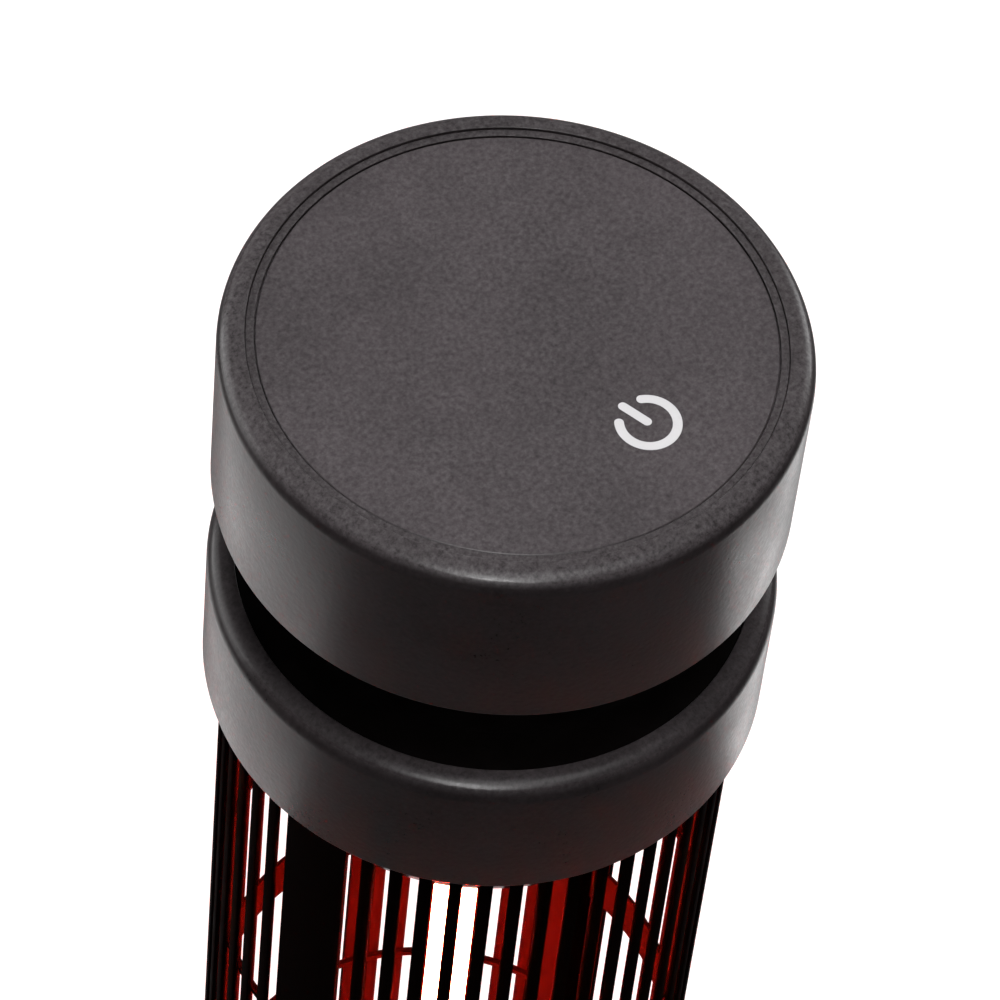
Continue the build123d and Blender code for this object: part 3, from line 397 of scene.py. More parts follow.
def brushed_group():
    """Fine lines round the axis, as on rolled and turned metal."""
    tree, given, result = new_group(
        "Turned Lines", [("Vector", VECTOR, None), ("Pitch", VALUE, 0.0004)],
        [("Tone", VALUE), ("Height", VALUE)])
    x, y, z = split(tree, given["Vector"])
    across = hypotenuse(tree, x, y)
    lines = add(tree, "ShaderNodeCombineXYZ")
    feed(tree, calc(tree, "DIVIDE", across, given["Pitch"]), lines.inputs[0])
    feed(tree, calc(tree, "DIVIDE", z, given["Pitch"]), lines.inputs[1])
    fine = noise(tree, lines.outputs[0], 1.0, 3.0, 0.7)
    broad = noise(tree, given["Vector"], 60.0, 3.0)
    feed(tree, remap(tree, calc(tree, "ADD", fine, broad), 0.7, 1.3), result["Tone"])
    feed(tree, fine, result["Height"])
    return tree


def tracks_group():
    """Copper tracks and pads under a board's varnish."""
    tree, given, result = new_group(
        "Board Tracks", [("Vector", VECTOR, None)], [("Track", VALUE), ("Pad", VALUE)])
    bricks = add(tree, "ShaderNodeTexBrick", offset=0.5)
    feed(tree, given["Vector"], bricks.inputs["Vector"])
    bricks.inputs["Scale"].default_value = 90.0
    bricks.inputs["Mortar Size"].default_value = 0.035
    bricks.inputs["Mortar Smooth"].default_value = 0.1
    cells = add(tree, "ShaderNodeTexVoronoi")
    feed(tree, given["Vector"], cells.inputs["Vector"])
    cells.inputs["Scale"].default_value = 210.0
    cells.inputs["Randomness"].default_value = 0.15
    feed(tree, bricks.outputs["Fac"], result["Track"])
    feed(tree, remap(tree, cells.outputs["Distance"], 0.26, 0.22), result["Pad"])
    return tree


GROUP_MAKERS = {
    "Coat Grain": grain_group, "Rim Wear": rim_group, "Settled Dust": dust_and_top_light_group,
    "Finger Smudges": smudge_group, "Turned Lines": brushed_group,
    "Board Tracks": tracks_group,
}


def use_group(tree, name, vector, **values):
    """Place a shared group in a material, with its own values."""
    made = bpy.data.node_groups.get(name) or GROUP_MAKERS[name]()
    node = add(tree, "ShaderNodeGroup", node_tree=made)
    feed(tree, vector, node.inputs["Vector"])
    for label, value in values.items():
        feed(tree, value, node.inputs[label])
    return node.outputs


SOCKETS = {"metallic": "Metallic", "roughness": "Roughness", "ior": "IOR",
           "specular_level": "Specular IOR Level", "transmission": "Transmission Weight",
           "coat": "Coat Weight", "coat_roughness": "Coat Roughness"}


def start_material(name, **settings):
    """Material with its shader, its constants on the shader's sockets, and its vector."""
    material = bpy.data.materials.new(name)
    material.use_nodes = True
    tree = material.node_tree
    shader = tree.nodes["Principled BSDF"]
    for label, value in settings.items():
        shader.inputs[SOCKETS[label]].default_value = value
    place = add(tree, "ShaderNodeMapping")
    feed(tree, add(tree, "ShaderNodeTexCoord").outputs["Object"], place.inputs["Vector"])
    return material, tree, shader, place.outputs["Vector"]


def bump(tree, shader, height, distance, strength=1.0):
    """Bump that feeds the shader's normal."""
    node = add(tree, "ShaderNodeBump")
    node.inputs["Distance"].default_value = distance
    node.inputs["Strength"].default_value = strength
    feed(tree, height, node.inputs["Height"])
    feed(tree, node.outputs[0], shader.inputs["Normal"])


def tint(colour, amount):
    """Colour made lighter or darker."""
    return tuple(channel * amount for channel in colour[:3])


def varied(tree, tone, colour, spread):
    """Colour that a tone makes darker and lighter by the spread."""
    return blend(tree, tone, tint(colour, 1 - spread), tint(colour, 1 + spread))


def coat_material(finish):
    """Fine dark powder coat with faint crown wear, dust with painted top light, and painted
    shade under the cap.
    """
    material, tree, shader, vector = start_material("anthracite powder coat",
                                                    specular_level=0.07)
    grain = use_group(tree, "Coat Grain", vector, Grain=0.0014, Mottle=0.03)
    colour = varied(tree, grain["Tone"], finish.coat, spread=0.45)
    worn = None
    for level in (CAP_TOP, COLLAR_TOP, BASE_TOP):
        mask = use_group(tree, "Rim Wear", vector, Radius=DRUM_RADIUS - WEAR_INSET,
                         Height=level - WEAR_INSET, Width=WEAR_WIDTH)["Mask"]
        worn = mask if worn is None else calc(tree, "MAXIMUM", worn, mask)
    colour = blend(tree, calc(tree, "MULTIPLY", worn, 0.25), colour, tint(finish.coat, 2.2))
    dust_and_top_light = use_group(tree, "Settled Dust", vector, Amount=0.085)["Mask"]
    # Painted shade: below the cap the dust and its painted top light fall to a share, darkening
    # the collar and below
    shade_under_cap = remap(tree, split(tree, vector)[2], COLLAR_TOP, CAP_LOW, UNDER_CAP_SHADE_SHARE, 1.0)
    colour = blend(tree, calc(tree, "MULTIPLY", dust_and_top_light, shade_under_cap), colour, finish.dust_and_top_light)
    feed(tree, colour, shader.inputs["Base Color"])
    rough = remap(tree, grain["Tone"], 0.0, 1.0, 0.25, 0.42)
    feed(tree, calc(tree, "SUBTRACT", rough, calc(tree, "MULTIPLY", worn, 0.10)),
         shader.inputs["Roughness"])
    bump(tree, shader, grain["Height"], distance=0.00006, strength=0.8)
    return material


def panel_material(finish):
    """Satin touch surface with faint smudges."""
    material, tree, shader, vector = start_material("satin touch panel",
                                                    specular_level=0.12)
    grain = use_group(tree, "Coat Grain", vector, Grain=0.0016, Mottle=0.05)
    colour = varied(tree, grain["Tone"], finish.panel, spread=0.5)
    # Dust on the panel's top, which also paints it lighter as painted top light
    dust_and_top_light = use_group(tree, "Settled Dust", vector, Amount=0.065)["Mask"]
    feed(tree, blend(tree, dust_and_top_light, colour, finish.dust_and_top_light), shader.inputs["Base Color"])
    smudge = use_group(tree, "Finger Smudges", vector, Amount=0.05)["Rough"]
    rough = remap(tree, grain["Rough"], 0.0, 1.0, 0.42, 0.46)
    feed(tree, calc(tree, "ADD", rough, smudge), shader.inputs["Roughness"])
    bump(tree, shader, grain["Height"], distance=0.00008, strength=0.7)
    return material


def plain_coat(name, colour, grain_size, rough, depth=0.00003, dust_amount=0.0,
               spread=0.12, **settings):
    """Moulded, enamelled or fired finish: grain in its tone, roughness and surface."""
    material, tree, shader, vector = start_material(name, **settings)
    grain = use_group(tree, "Coat Grain", vector, Grain=grain_size, Mottle=0.012)
    tone = varied(tree, grain["Tone"], colour, spread)
    if dust_amount:
        # Dust on what faces up, which also paints the tops lighter as painted top light
        dust_and_top_light = use_group(tree, "Settled Dust", vector, Amount=dust_amount)["Mask"]
        tone = blend(tree, dust_and_top_light, tone, GREY_DUST_AND_TOP_LIGHT)
    feed(tree, tone, shader.inputs["Base Color"])
    feed(tree, remap(tree, grain["Rough"], 0.0, 1.0, *rough), shader.inputs["Roughness"])
    bump(tree, shader, grain["Height"], depth, strength=0.7)
    return material


def turned_metal(name, colour, pitch, rough, depth=0.00001, spread=0.15):
    """Bare metal with fine lines."""
    material, tree, shader, vector = start_material(name, metallic=1.0)
    lines = use_group(tree, "Turned Lines", vector, Pitch=pitch)
    tone = blend(tree, lines["Tone"], tint(colour, 1 - spread), tint(colour, 1 + spread / 3))
    feed(tree, tone, shader.inputs["Base Color"])
    feed(tree, remap(tree, lines["Tone"], 0.0, 1.0, *rough), shader.inputs["Roughness"])
    bump(tree, shader, lines["Height"], depth, strength=0.6)
    return material


def board_material():
    """Varnished circuit board with tracks and pads."""
    material, tree, shader, vector = start_material("green circuit board", coat=0.6,
                                                    coat_roughness=0.2)
    tracks = use_group(tree, "Board Tracks", vector)
    grain = use_group(tree, "Coat Grain", vector, Grain=0.0004, Mottle=0.01)
    base = blend(tree, grain["Tone"], (0.010, 0.075, 0.030), (0.014, 0.095, 0.040))
    colour = blend(tree, calc(tree, "MULTIPLY", tracks["Track"], 0.6), base,
                   (0.035, 0.20, 0.070))
    feed(tree, blend(tree, tracks["Pad"], colour, (0.55, 0.52, 0.45)),
         shader.inputs["Base Color"])
    feed(tree, tracks["Pad"], shader.inputs["Metallic"])
    feed(tree, remap(tree, grain["Rough"], 0.0, 1.0, 0.28, 0.40), shader.inputs["Roughness"])
    bump(tree, shader, tracks["Track"], distance=0.00003)
    return material


def fibre_material():
    """Pressed ceramic fibre."""
    material, tree, shader, vector = start_material("ceramic fibre", roughness=0.95)
    strands = add(tree, "ShaderNodeTexWave", wave_type="BANDS")
    feed(tree, vector, strands.inputs["Vector"])
    strands.inputs["Scale"].default_value = 400.0
    strands.inputs["Distortion"].default_value = 30.0
    strands.inputs["Detail"].default_value = 4.0
    clump = noise(tree, vector, 120.0, 4.0, 0.7)
    feed(tree, blend(tree, clump, (0.55, 0.51, 0.44), (0.80, 0.78, 0.72)),
         shader.inputs["Base Color"])
    height = calc(tree, "ADD", strands.outputs["Fac"], calc(tree, "MULTIPLY", clump, 2.0))
    bump(tree, shader, height, distance=0.0004)
    return material


def quartz_material(finish):
    """Quartz glass tube that glows along its heated length."""
    material, tree, shader, vector = start_material(
        "glowing quartz", roughness=0.08, transmission=1.0, ior=1.46)
    z = split(tree, vector)[2]
    heated = calc(tree, "MULTIPLY",
                  remap(tree, z, TUBE_LOW + COLD_END, TUBE_LOW + WARM_END),
                  remap(tree, z, TUBE_HIGH - COLD_END, TUBE_HIGH - WARM_END))
    streak = remap(tree, noise(tree, vector, 90.0, 2.0), 0.3, 0.7, 0.85, 1.0)
    glow = calc(tree, "MULTIPLY", heated, streak)
    feed(tree, blend(tree, glow, (0.0, 0.0, 0.0), finish.glow),
         shader.inputs["Emission Color"])
    shader.inputs["Emission Strength"].default_value = finish.glow_strength
    feed(tree, blend(tree, heated, (0.92, 0.92, 0.92), (0.95, 0.75, 0.70)),
         shader.inputs["Base Color"])
    return material


def carbon_material(finish):
    """Woven carbon strip at full heat."""
    material, tree, shader, vector = start_material("glowing carbon", roughness=0.8)
    weave = add(tree, "ShaderNodeTexChecker")
    feed(tree, vector, weave.inputs["Vector"])
    weave.inputs["Scale"].default_value = 1400.0
    feed(tree, blend(tree, weave.outputs["Fac"], (0.02, 0.02, 0.02), (0.05, 0.05, 0.05)),
         shader.inputs["Base Color"])
    warm = noise(tree, vector, 200.0, 2.0)
    feed(tree, blend(tree, warm, tint(finish.glow, 0.8), finish.glow),
         shader.inputs["Emission Color"])
    shader.inputs["Emission Strength"].default_value = finish.glow_strength
    return material


COATS = {
    "black_plastic": dict(name="black moulding", colour=(0.016, 0.016, 0.018),
                          grain_size=0.0005, rough=(0.4, 0.55), dust_amount=0.03),
    "grey_plastic": dict(name="grey moulding", colour=(0.22, 0.22, 0.23),
                         grain_size=0.0005, rough=(0.4, 0.5)),
    "ceramic_white": dict(name="white ceramic", colour=(0.74, 0.71, 0.66),
                          grain_size=0.0008, rough=(0.5, 0.65), depth=0.00005, spread=0.05),
    "rubber_black": dict(name="soft rubber", colour=(0.018, 0.018, 0.018),
                         grain_size=0.0009, rough=(0.65, 0.8), depth=0.00006,
                         dust_amount=0.05),
    "wire_brown": dict(name="silicone sheath", colour=(0.10, 0.045, 0.028),
                       grain_size=0.0007, rough=(0.45, 0.6)),
}
METALS = {
    "zinc_steel": dict(name="zinc plating", colour=(0.50, 0.50, 0.49), pitch=0.0005,
                       rough=(0.28, 0.42)),
    "sheet_steel": dict(name="rolled sheet steel", colour=(0.36, 0.36, 0.37), pitch=0.0009,
                        rough=(0.35, 0.5)),
    "polished_shield": dict(name="polished shield", colour=(0.82, 0.82, 0.84), pitch=0.0007,
                            rough=(0.12, 0.22), depth=0.000004, spread=0.08),
    "heatsink_metal": dict(name="extruded aluminium", colour=(0.60, 0.61, 0.63),
                           pitch=0.0006, rough=(0.3, 0.4)),
    "copper": dict(name="copper", colour=(0.75, 0.40, 0.26), pitch=0.0004,
                   rough=(0.25, 0.4)),
    "magnet_metal": dict(name="nickel plating", colour=(0.62, 0.60, 0.57), pitch=0.0003,
                         rough=(0.15, 0.25), depth=0.000005),
}
FINISHES = {}


def make_materials(finish):
    """One finish for each material slot of the frame."""
    made = {
        "coated_metal": coat_material(finish),
        "panel_grey": panel_material(finish),
        "symbol_white": plain_coat("white inlay", finish.symbol, grain_size=0.0006,
                                   rough=(0.42, 0.5), depth=0.00001, spread=0.03),
        "cage_black": plain_coat("black cage enamel", finish.enamel, grain_size=0.0006,
                                 rough=(0.60, 0.75), dust_amount=0.001, spread=0.3,
                                 specular_level=0.2, ior=1.03),
        # Painted shade: the dish gets half the cage's near-black enamel, standing for the shade
        # under the cap
        "dish_black": plain_coat("black dish enamel", tint(finish.enamel, 0.5),
                                 grain_size=0.0008, rough=(0.30, 0.40), depth=0.00002,
                                 dust_amount=0.001, spread=0.25, specular_level=0.3,
                                 ior=1.15),
        "board_green": board_material(),
        "fibre": fibre_material(),
        "quartz": quartz_material(finish),
        "carbon_glow": carbon_material(finish),
    }
    made.update({slot: plain_coat(**values) for slot, values in COATS.items()})
    made.update({slot: turned_metal(**values) for slot, values in METALS.items()})
    return made


def finish_for(slot):
    """The finished material of a slot; all are made on first use."""
    if not FINISHES:
        FINISHES.update(make_materials(bpy.context.scene.heater_finish))
    return FINISHES[slot]


# Mesh helpers


def lathe(outline, steps, closed=True):
    """Outline of (radius, height) points turned round the axis."""
    bm = bmesh.new()
    corners = [bm.verts.new((radius, 0.0, height)) for radius, height in outline]
    pairs = list(zip(corners, corners[1:]))
    if closed:
        pairs.append((corners[-1], corners[0]))
    edges = [bm.edges.new(pair) for pair in pairs]
    bmesh.ops.spin(bm, geom=corners + edges, cent=(0, 0, 0), axis=(0, 0, 1), angle=2 * pi,
                   steps=steps, use_merge=True)
    bmesh.ops.remove_doubles(bm, verts=bm.verts, dist=MERGE_DISTANCE)
    bmesh.ops.recalc_face_normals(bm, faces=bm.faces)
    return bm


def join_mesh(bm, other):
    """Add another mesh to this one."""
    spare = bpy.data.meshes.new("spare")
    other.to_mesh(spare)
    other.free()
    bm.from_mesh(spare)
    bpy.data.meshes.remove(spare)


def at_ring(vertex, radius, height):
    """Whether a vertex lies on a ring."""
    return (abs(vertex.co.xy.length - radius) < RING_TOLERANCE
            and abs(vertex.co.z - height) < RING_TOLERANCE)


def round_ring(bm, radius, height, offset, segments):
    """Round a ring edge of a lathe shape."""
    edges = [edge for edge in bm.edges
             if all(at_ring(vertex, radius, height) for vertex in edge.verts)]
    bmesh.ops.bevel(bm, geom=edges, offset=offset, offset_type="OFFSET", segments=segments,
                    profile=0.5, affect="EDGES", material=-1, clamp_overlap=True)


def add_cylinder(bm, radius, low, high, x=0.0, y=0.0, segments=24):
    """Upright cylinder added to a mesh."""
    made = bmesh.ops.create_cone(bm, cap_ends=True, segments=segments, radius1=radius,
                                 radius2=radius, depth=high - low)
    bmesh.ops.translate(bm, verts=made["verts"], vec=(x, y, (low + high) / 2))


def add_block(bm, low, high, rounding, segments=2):
    """Box between two corners, with its edges rounded; gives its vertices."""
    verts = bmesh.ops.create_cube(bm, size=1.0)["verts"]
    low, high = Vector(low), Vector(high)
    bmesh.ops.scale(bm, verts=verts, vec=high - low)
    bmesh.ops.translate(bm, verts=verts, vec=(low + high) / 2)
    edges = list({edge for vertex in verts for edge in vertex.link_edges})
    result = bmesh.ops.bevel(bm, geom=edges, offset=rounding, offset_type="OFFSET",
                             segments=segments, profile=0.5, affect="EDGES",
                             material=-1, clamp_overlap=True)
    return list(set(result["verts"]) | {vertex for vertex in verts if vertex.is_valid})


def add_arc_strip(bm, inner, outer, low, high, start, sweep, steps):
    """Strip of a tube between two angles, with closed ends."""
    corners = [bm.verts.new((r * cos(start), r * sin(start), z))
               for r, z in ((inner, low), (outer, low), (outer, high), (inner, high))]
    face = bm.faces.new(corners)
    bmesh.ops.spin(bm, geom=[face], cent=(0, 0, 0), axis=(0, 0, 1), angle=sweep,
                   steps=steps, use_duplicate=False)


def make_piece(name, bm, slot, nodes, body="heater", crease=35.0):
    """Object from a mesh, smooth but for its sharp edges, in place of its nodes."""
    for face in bm.faces:
        face.smooth = True
    for edge in bm.edges:
        if len(edge.link_faces) == 2:
            edge.smooth = edge.calc_face_angle(0.0) < radians(crease)
    mesh = bpy.data.meshes.new(name)
    bm.to_mesh(mesh)
    bm.free()
    piece = bpy.data.objects.new(name, mesh)
    bpy.context.scene.collection.objects.link(piece)
    mesh.materials.append(finish_for(slot))
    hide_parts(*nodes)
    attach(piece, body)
    return piece


def drum(shape, low, top, seat, boss_low):
    """Drum with a crowned rim, an inner ledge and screw bosses under it."""
    inner = DRUM_RADIUS - shape.wall
    mouth = TRIM_RADIUS + shape.seam
    ledge_low = seat - shape.ledge_thickness
    bm = lathe([(inner, low), (DRUM_RADIUS, low), (DRUM_RADIUS, top), (mouth, top),
                (mouth, seat), (shape.ledge_radius, seat), (shape.ledge_radius, ledge_low),
                (inner, ledge_low)], shape.steps)
    round_ring(bm, DRUM_RADIUS, top, shape.rim_round, RIM_SEGMENTS)
    round_ring(bm, mouth, top, shape.lip_round, LIP_SEGMENTS)
    round_ring(bm, DRUM_RADIUS, low, shape.edge_round, EDGE_SEGMENTS)
    for index in range(BOSS_COUNT):
        angle = FIRST_BOSS + 2 * pi * index / BOSS_COUNT
        add_cylinder(bm, shape.boss_radius, boss_low, ledge_low + OVERLAP,
                     shape.boss_circle * cos(angle), shape.boss_circle * sin(angle))
    return bm


# Operators: one for each piece or group of like pieces


class HEATER_OT_cap(bpy.types.Operator):
    """Model the cap drum with its crowned rim"""
    bl_idname = "heater.cap"
    bl_label = "Cap"

    def execute(self, context):
        shape = context.scene.heater_shape
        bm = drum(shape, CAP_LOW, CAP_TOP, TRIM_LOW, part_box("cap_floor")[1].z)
        make_piece("cap_drum", bm, "coated_metal", ["cap_shell"])
        return {"FINISHED"}


class HEATER_OT_trim(bpy.types.Operator):
    """Model the narrow ring between the rim and the panel"""
    bl_idname = "heater.trim"
    bl_label = "Trim ring"
    inner_seam: bpy.props.FloatProperty(
        name="Inner seam", description="Seam between the panel and the ring",
        default=0.00035, unit="LENGTH")
    reach: bpy.props.FloatProperty(
        name="Reach", description="How far the ring stands into the outer seam",
        default=0.00007875, unit="LENGTH")
    outer_round: bpy.props.FloatProperty(
        name="Outer edge", description="Round of the outer edge", default=0.0003,
        unit="LENGTH")
    inner_round: bpy.props.FloatProperty(
        name="Inner edge", description="Round of the inner edge", default=0.00015,
        unit="LENGTH")

    def execute(self, context):
        shape = context.scene.heater_shape
        mouth = TRIM_RADIUS + shape.seam
        inner = PANEL_RADIUS + self.inner_seam
        outer = TRIM_RADIUS + self.reach
        floor = PANEL_TOP - shape.groove
        top = min(TRIM_TOP, PANEL_TOP + shape.step)
        bm = lathe([(PANEL_RADIUS, TRIM_LOW), (mouth, TRIM_LOW), (mouth, floor),
                    (outer, floor), (outer, top), (inner, top), (inner, floor),
                    (PANEL_RADIUS, floor)], shape.steps)
        round_ring(bm, outer, top, self.outer_round, LIP_SEGMENTS)
        round_ring(bm, inner, top, self.inner_round, LIP_SEGMENTS)
        make_piece("trim_band", bm, "coated_metal", ["trim_ring"])
        return {"FINISHED"}


class HEATER_OT_collar(bpy.types.Operator):
    """Model the collar drum"""
    bl_idname = "heater.collar"
    bl_label = "Collar"

    def execute(self, context):
        shape = context.scene.heater_shape
        seat = DISH_TOP - shape.dish_sheet
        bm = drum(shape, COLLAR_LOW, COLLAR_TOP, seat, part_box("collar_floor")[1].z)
        make_piece("collar_drum", bm, "coated_metal", ["collar_shell"])
        return {"FINISHED"}


class HEATER_OT_dish(bpy.types.Operator):
    """Model the dished plate on the collar"""
    bl_idname = "heater.dish"
    bl_label = "Collar dish"
    bore: bpy.props.FloatProperty(
        name="Bore", description="Hole for the neck", default=0.0303, unit="LENGTH")
    flat: bpy.props.FloatProperty(
        name="Flat", description="Radius of the flat middle", default=0.038, unit="LENGTH")
    shoulder: bpy.props.FloatProperty(
        name="Shoulder", description="Radius where the bowl meets the rim", default=0.0645,
        unit="LENGTH")
    edge_round: bpy.props.FloatProperty(
        name="Edge", description="Round of the upper edge", default=0.0003, unit="LENGTH")
    bowl_steps: bpy.props.IntProperty(
        name="Bowl steps", description="Steps down the bowl", default=12)

    def execute(self, context):
        shape = context.scene.heater_shape
        sheet = shape.dish_sheet
        seat = DISH_TOP - sheet
        depth = seat - DISH_LOW
        width = self.shoulder - self.flat
        bowl = (width ** 2 + depth ** 2) / (2 * depth)
        inner = bowl - sheet
        lower, upper = [], []
        for index in range(self.bowl_steps + 1):
            angle = acos(1 - depth / bowl) * index / self.bowl_steps
            lower.append((self.flat + bowl * sin(angle), DISH_LOW + bowl * (1 - cos(angle))))
            upper.append((self.flat + inner * sin(angle),
                          DISH_LOW + sheet + inner * (1 - cos(angle))))
        outline = [(self.bore, DISH_LOW)] + lower
        outline += [(DISH_RADIUS, seat), (DISH_RADIUS, DISH_TOP)]
        outline += upper[::-1] + [(self.bore, DISH_LOW + sheet)]
        bm = lathe(outline, shape.steps)
        round_ring(bm, DISH_RADIUS, DISH_TOP, self.edge_round, segments=3)
        # Its near-black finish is painted shade under the cap
        make_piece("dish_plate", bm, "dish_black", ["collar_dish"])
        return {"FINISHED"}


class HEATER_OT_cage(bpy.types.Operator):
    """Model the two halves of the barred cage"""
    bl_idname = "heater.cage"
    bl_label = "Cage halves"
    joint_gap: bpy.props.FloatProperty(
        name="Joint gap", description="Gap between a half and its post", default=0.00015,
        unit="LENGTH")
    hoop_lap: bpy.props.FloatProperty(
        name="Hoop lap", description="How far a hoop reaches into the bars",
        default=0.0002, unit="LENGTH")
    post_places: bpy.props.IntProperty(
        name="Post places", description="Bar places of a half that the posts take",
        default=3)
    arc_steps: bpy.props.IntProperty(
        name="Arc steps", description="Steps along a rail or hoop", default=72)

    def execute(self, context):
        shape = context.scene.heater_shape
        pitch = 2 * pi / shape.pitches
        inner = CAGE_RADIUS - shape.bar_depth
        bar_angle = shape.bar_width / CAGE_RADIUS
        half = pi / 2 - pitch - bar_angle / 2 - self.joint_gap / CAGE_RADIUS
        bars = shape.pitches // 2 - self.post_places
        for name, node, middle in (("front_bars", "front_grille", -pi / 2),
                                   ("rear_bars", "rear_grille", pi / 2)):
            bm = bmesh.new()
            arc = (middle - half, 2 * half, self.arc_steps)
            for low, high in ((CAGE_LOW, BASE_TOP), (COLLAR_LOW, CAGE_TOP)):
                add_arc_strip(bm, inner, CAGE_RADIUS, low, high, *arc)
            for side in (-1, 1):
                level = CAGE_MIDDLE + side * shape.hoop_spacing / 2
                add_arc_strip(bm, inner - shape.hoop_depth, inner + self.hoop_lap,
                              level - shape.hoop_height / 2, level + shape.hoop_height / 2,
                              *arc)
            for index in range(bars):
                angle = middle + (index - (bars - 1) / 2) * pitch
                verts = add_block(bm, (inner, -shape.bar_width / 2, BASE_TOP - OVERLAP),
                                  (CAGE_RADIUS, shape.bar_width / 2, COLLAR_LOW + OVERLAP),
                                  shape.bar_round)
                bmesh.ops.rotate(bm, verts=verts, cent=(0, 0, 0),
                                 matrix=Matrix.Rotation(angle, 3, "Z"))
            bmesh.ops.recalc_face_normals(bm, faces=bm.faces)
            make_piece(name, bm, "cage_black", [node])
        return {"FINISHED"}


class HEATER_OT_band(bpy.types.Operator):
    """Model the flat band inside the bars"""
    bl_idname = "heater.band"
    bl_label = "Middle band"
    thickness: bpy.props.FloatProperty(
        name="Thickness", description="Thickness of the band", default=0.0015,
        unit="LENGTH")
    edge_round: bpy.props.FloatProperty(
        name="Edge", description="Round of the edges", default=0.0003, unit="LENGTH")

    def execute(self, context):
        shape = context.scene.heater_shape
        inner = BAND_RADIUS - self.thickness
        bm = lathe([(inner, BAND_LOW), (BAND_RADIUS, BAND_LOW), (BAND_RADIUS, BAND_TOP),
                    (inner, BAND_TOP)], shape.steps)
        for radius in (inner, BAND_RADIUS):
            for level in (BAND_LOW, BAND_TOP):
                round_ring(bm, radius, level, self.edge_round, segments=2)
        make_piece("inner_band", bm, "cage_black", ["mid_band"])
        return {"FINISHED"}


class HEATER_OT_foot(bpy.types.Operator):
    """Model the round foot plate"""
    bl_idname = "heater.foot"
    bl_label = "Foot plate"
    upper_round: bpy.props.FloatProperty(
        name="Upper edge", description="Round of the upper edge", default=0.002,
        unit="LENGTH")
    lower_round: bpy.props.FloatProperty(
        name="Lower edge", description="Round of the lower edge", default=0.0004,
        unit="LENGTH")

    def execute(self, context):
        shape = context.scene.heater_shape
        bm = bmesh.new()
        add_cylinder(bm, PLATE_RADIUS, PLATE_LOW, PLATE_TOP, segments=shape.steps)
        bmesh.ops.recalc_face_normals(bm, faces=bm.faces)
        round_ring(bm, PLATE_RADIUS, PLATE_TOP, self.upper_round, segments=6)
        round_ring(bm, PLATE_RADIUS, PLATE_LOW, self.lower_round, segments=2)
        make_piece("foot_plate", bm, "coated_metal", ["base_plate"])
        return {"FINISHED"}


class HEATER_OT_tube(bpy.types.Operator):
    """Model the quartz tube with its solid ends"""
    bl_idname = "heater.tube"
    bl_label = "Quartz tube"
    end: bpy.props.FloatProperty(
        name="End", description="Solid glass at each end", default=0.003, unit="LENGTH")
    wall: bpy.props.FloatProperty(
        name="Wall", description="Wall of the tube", default=0.0012, unit="LENGTH")
    end_round: bpy.props.FloatProperty(
        name="End round", description="Round of the ends", default=0.001, unit="LENGTH")
    steps: bpy.props.IntProperty(
        name="Steps", description="Steps round the tube", default=48)

    def execute(self, context):
        hollow = TUBE_RADIUS - self.wall
        bm = lathe([(0, TUBE_LOW + self.end), (hollow, TUBE_LOW + self.end),
                    (hollow, TUBE_HIGH - self.end), (0, TUBE_HIGH - self.end)],
                   self.steps, closed=False)
        bmesh.ops.reverse_faces(bm, faces=bm.faces)
        outside = lathe([(0, TUBE_LOW), (TUBE_RADIUS, TUBE_LOW), (TUBE_RADIUS, TUBE_HIGH),
                         (0, TUBE_HIGH)], self.steps, closed=False)
        for level in (TUBE_LOW, TUBE_HIGH):
            round_ring(outside, TUBE_RADIUS, level, self.end_round, segments=4)
        join_mesh(bm, outside)
        make_piece("lamp_tube", bm, "quartz", ["quartz_tube"])
        return {"FINISHED"}


class HEATER_OT_finishes(bpy.types.Operator):
    """Give every carried-over piece the finish of its slot"""
    bl_idname = "heater.finishes"
    bl_label = "Finishes"

    def execute(self, context):
        for part in frame["record"]["subparts"]:
            node = frame["nodes"][part["node"]]
            for holder in node.material_slots:
                holder.material = finish_for(part["material_slot"])
        return {"FINISHED"}


def seen_rays(tree):
    """One for the rays that show the background: straight and through glass."""
    rays = add(tree, "ShaderNodeLightPath").outputs
    return calc(tree, "MAXIMUM", rays["Is Camera Ray"], rays["Is Transmission Ray"])


def floor_material(colour):
    """Pale floor that shows the object's shadow under an even white."""
    material, tree, shader, vector = start_material("pale floor", roughness=0.9)
    soft = noise(tree, vector, 3.0, 2.0)
    pale = blend(tree, soft, tint(colour, FLOOR_OTHER_LOW), tint(colour, FLOOR_OTHER_HIGH))
    seen = seen_rays(tree)
    feed(tree, blend(tree, seen, pale, tint(colour, FLOOR_SEEN)), shader.inputs["Base Color"])
    shader.inputs["Emission Color"].default_value = (1, 1, 1, 1)
    feed(tree, calc(tree, "MULTIPLY", seen, FLOOR_WHITE), shader.inputs["Emission Strength"])
    return material


def add_area(name, energy, size, place, aim, diffuse):
    """Soft area light turned to a point, for highlights alone where diffuse is off."""
    data = bpy.data.lights.new(name, "AREA")
    data.energy = energy
    data.size = size
    lamp = bpy.data.objects.new(name, data)
    lamp.location = place
    lamp.visible_camera = False
    lamp.visible_diffuse = diffuse
    lamp.rotation_euler = (aim - place).to_track_quat("-Z", "Y").to_euler()
    bpy.context.scene.collection.objects.link(lamp)


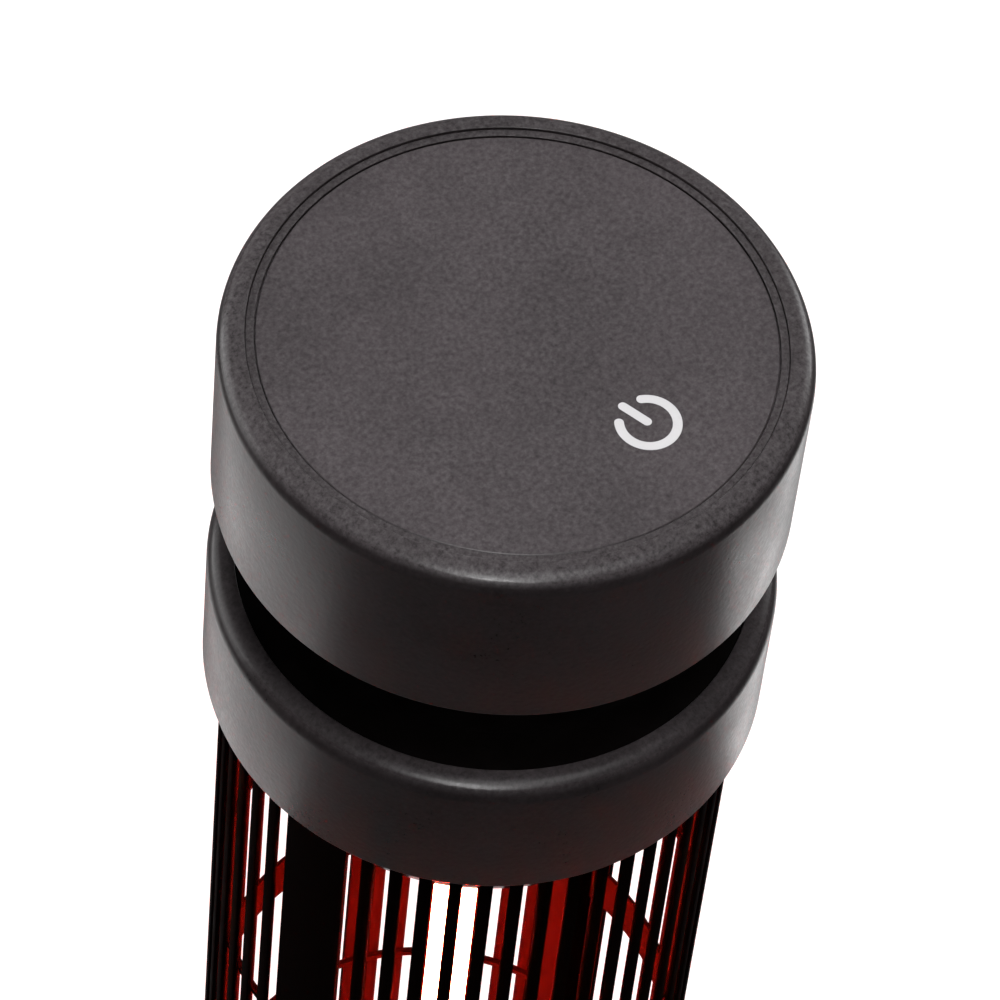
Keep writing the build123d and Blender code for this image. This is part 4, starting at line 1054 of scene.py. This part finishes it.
class HEATER_OT_stage(bpy.types.Operator):
    """Set the camera, the floor and the lights"""
    bl_idname = "heater.stage"
    bl_label = "Stage"

    def execute(self, context):
        scene = context.scene
        studio = scene.heater_studio
        bm = bmesh.new()
        bmesh.ops.create_grid(bm, x_segments=1, y_segments=1, size=6.0,
                              matrix=Matrix.Translation((0, 0, -studio.floor_gap)))
        mesh = bpy.data.meshes.new("floor")
        bm.to_mesh(mesh)
        bm.free()
        floor = bpy.data.objects.new("floor", mesh)
        mesh.materials.append(floor_material(studio.floor))
        scene.collection.objects.link(floor)
        right = Vector((cos(studio.azimuth), sin(studio.azimuth), 0))
        away = Vector((-sin(studio.azimuth), cos(studio.azimuth), 0))
        up = Vector((0, 0, 1))
        self.set_world(scene, studio)
        self.set_camera(scene, studio, right, away, up)
        for name, size, way, faces_up, diffuse in LIGHTS:
            place = right * way[0] + away * way[1] + up * way[2]
            add_area(f"{name}_light", getattr(studio, f"{name}_energy"), size, place,
                     place + up if faces_up else up * CAP_LOW, diffuse)
        return {"FINISHED"}

    def set_world(self, scene, studio):
        """White seen up to a little above the horizon, and soft light from all round."""
        world = bpy.data.worlds.new("surroundings")
        scene.world = world
        world.use_nodes = True
        tree = world.node_tree
        background = tree.nodes["Background"]
        direction = add(tree, "ShaderNodeTexCoord").outputs["Generated"]
        horizon = remap(tree, split(tree, direction)[2], WHITE_BELOW, SOFT_ABOVE, 1.0, 0.0)
        feed(tree, remap(tree, calc(tree, "MULTIPLY", seen_rays(tree), horizon), 0.0, 1.0,
                         studio.world_strength, 1.0), background.inputs["Strength"])
        background.inputs["Color"].default_value = (1, 1, 1, 1)
        scene.view_settings.view_transform = "Standard"

    def set_camera(self, scene, studio, level, away, up):
        """Long lens at the photograph's angle, aimed beside the panel's middle."""
        forward = away * cos(studio.elevation) - up * sin(studio.elevation)
        down = forward.cross(level)
        right = level * cos(studio.roll) - down * sin(studio.roll)
        down = level * sin(studio.roll) + down * cos(studio.roll)
        aim = up * PANEL_TOP + right * studio.aim_right + down * studio.aim_down
        data = bpy.data.cameras.new("camera")
        data.lens = studio.lens
        data.sensor_width = 36.0
        camera = bpy.data.objects.new("camera", data)
        turn = Matrix((right, -down, -forward)).transposed()
        camera.matrix_world = Matrix.Translation(aim - forward * studio.distance) @ turn.to_4x4()
        scene.collection.objects.link(camera)
        scene.camera = camera


OPERATORS = (HEATER_OT_stage, HEATER_OT_cap, HEATER_OT_trim, HEATER_OT_collar, HEATER_OT_dish,
             HEATER_OT_cage, HEATER_OT_band, HEATER_OT_foot, HEATER_OT_tube,
             HEATER_OT_finishes)


class HEATER_PT_panel(bpy.types.Panel):
    """Lists the heater's operators and settings"""
    bl_idname = "HEATER_PT_panel"
    bl_label = "Heater"
    bl_space_type = "VIEW_3D"
    bl_region_type = "UI"
    bl_category = "Heater"

    def draw(self, context):
        for operator in OPERATORS:
            self.layout.operator(operator.bl_idname)
        for group in (context.scene.heater_shape, context.scene.heater_finish,
                      context.scene.heater_studio):
            box = self.layout.box()
            for key in group.__annotations__:
                box.prop(group, key)


GROUPS = {"heater_shape": HeaterShape, "heater_finish": HeaterFinish,
          "heater_studio": HeaterStudio}


def register():
    """Register the settings, the operators and the panel."""
    for name, group in GROUPS.items():
        bpy.utils.register_class(group)
        setattr(bpy.types.Scene, name, bpy.props.PointerProperty(type=group))
    for item in (*OPERATORS, HEATER_PT_panel):
        bpy.utils.register_class(item)


def unregister():
    """Take the panel, the operators and the settings away again."""
    for item in (HEATER_PT_panel, *reversed(OPERATORS)):
        bpy.utils.unregister_class(item)
    for name, group in GROUPS.items():
        delattr(bpy.types.Scene, name)
        bpy.utils.unregister_class(group)


def main():
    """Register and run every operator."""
    register()
    for operator in OPERATORS:
        family, action = operator.bl_idname.split(".")
        getattr(getattr(bpy.ops, family), action)()


if __name__ == "__main__":
    main()
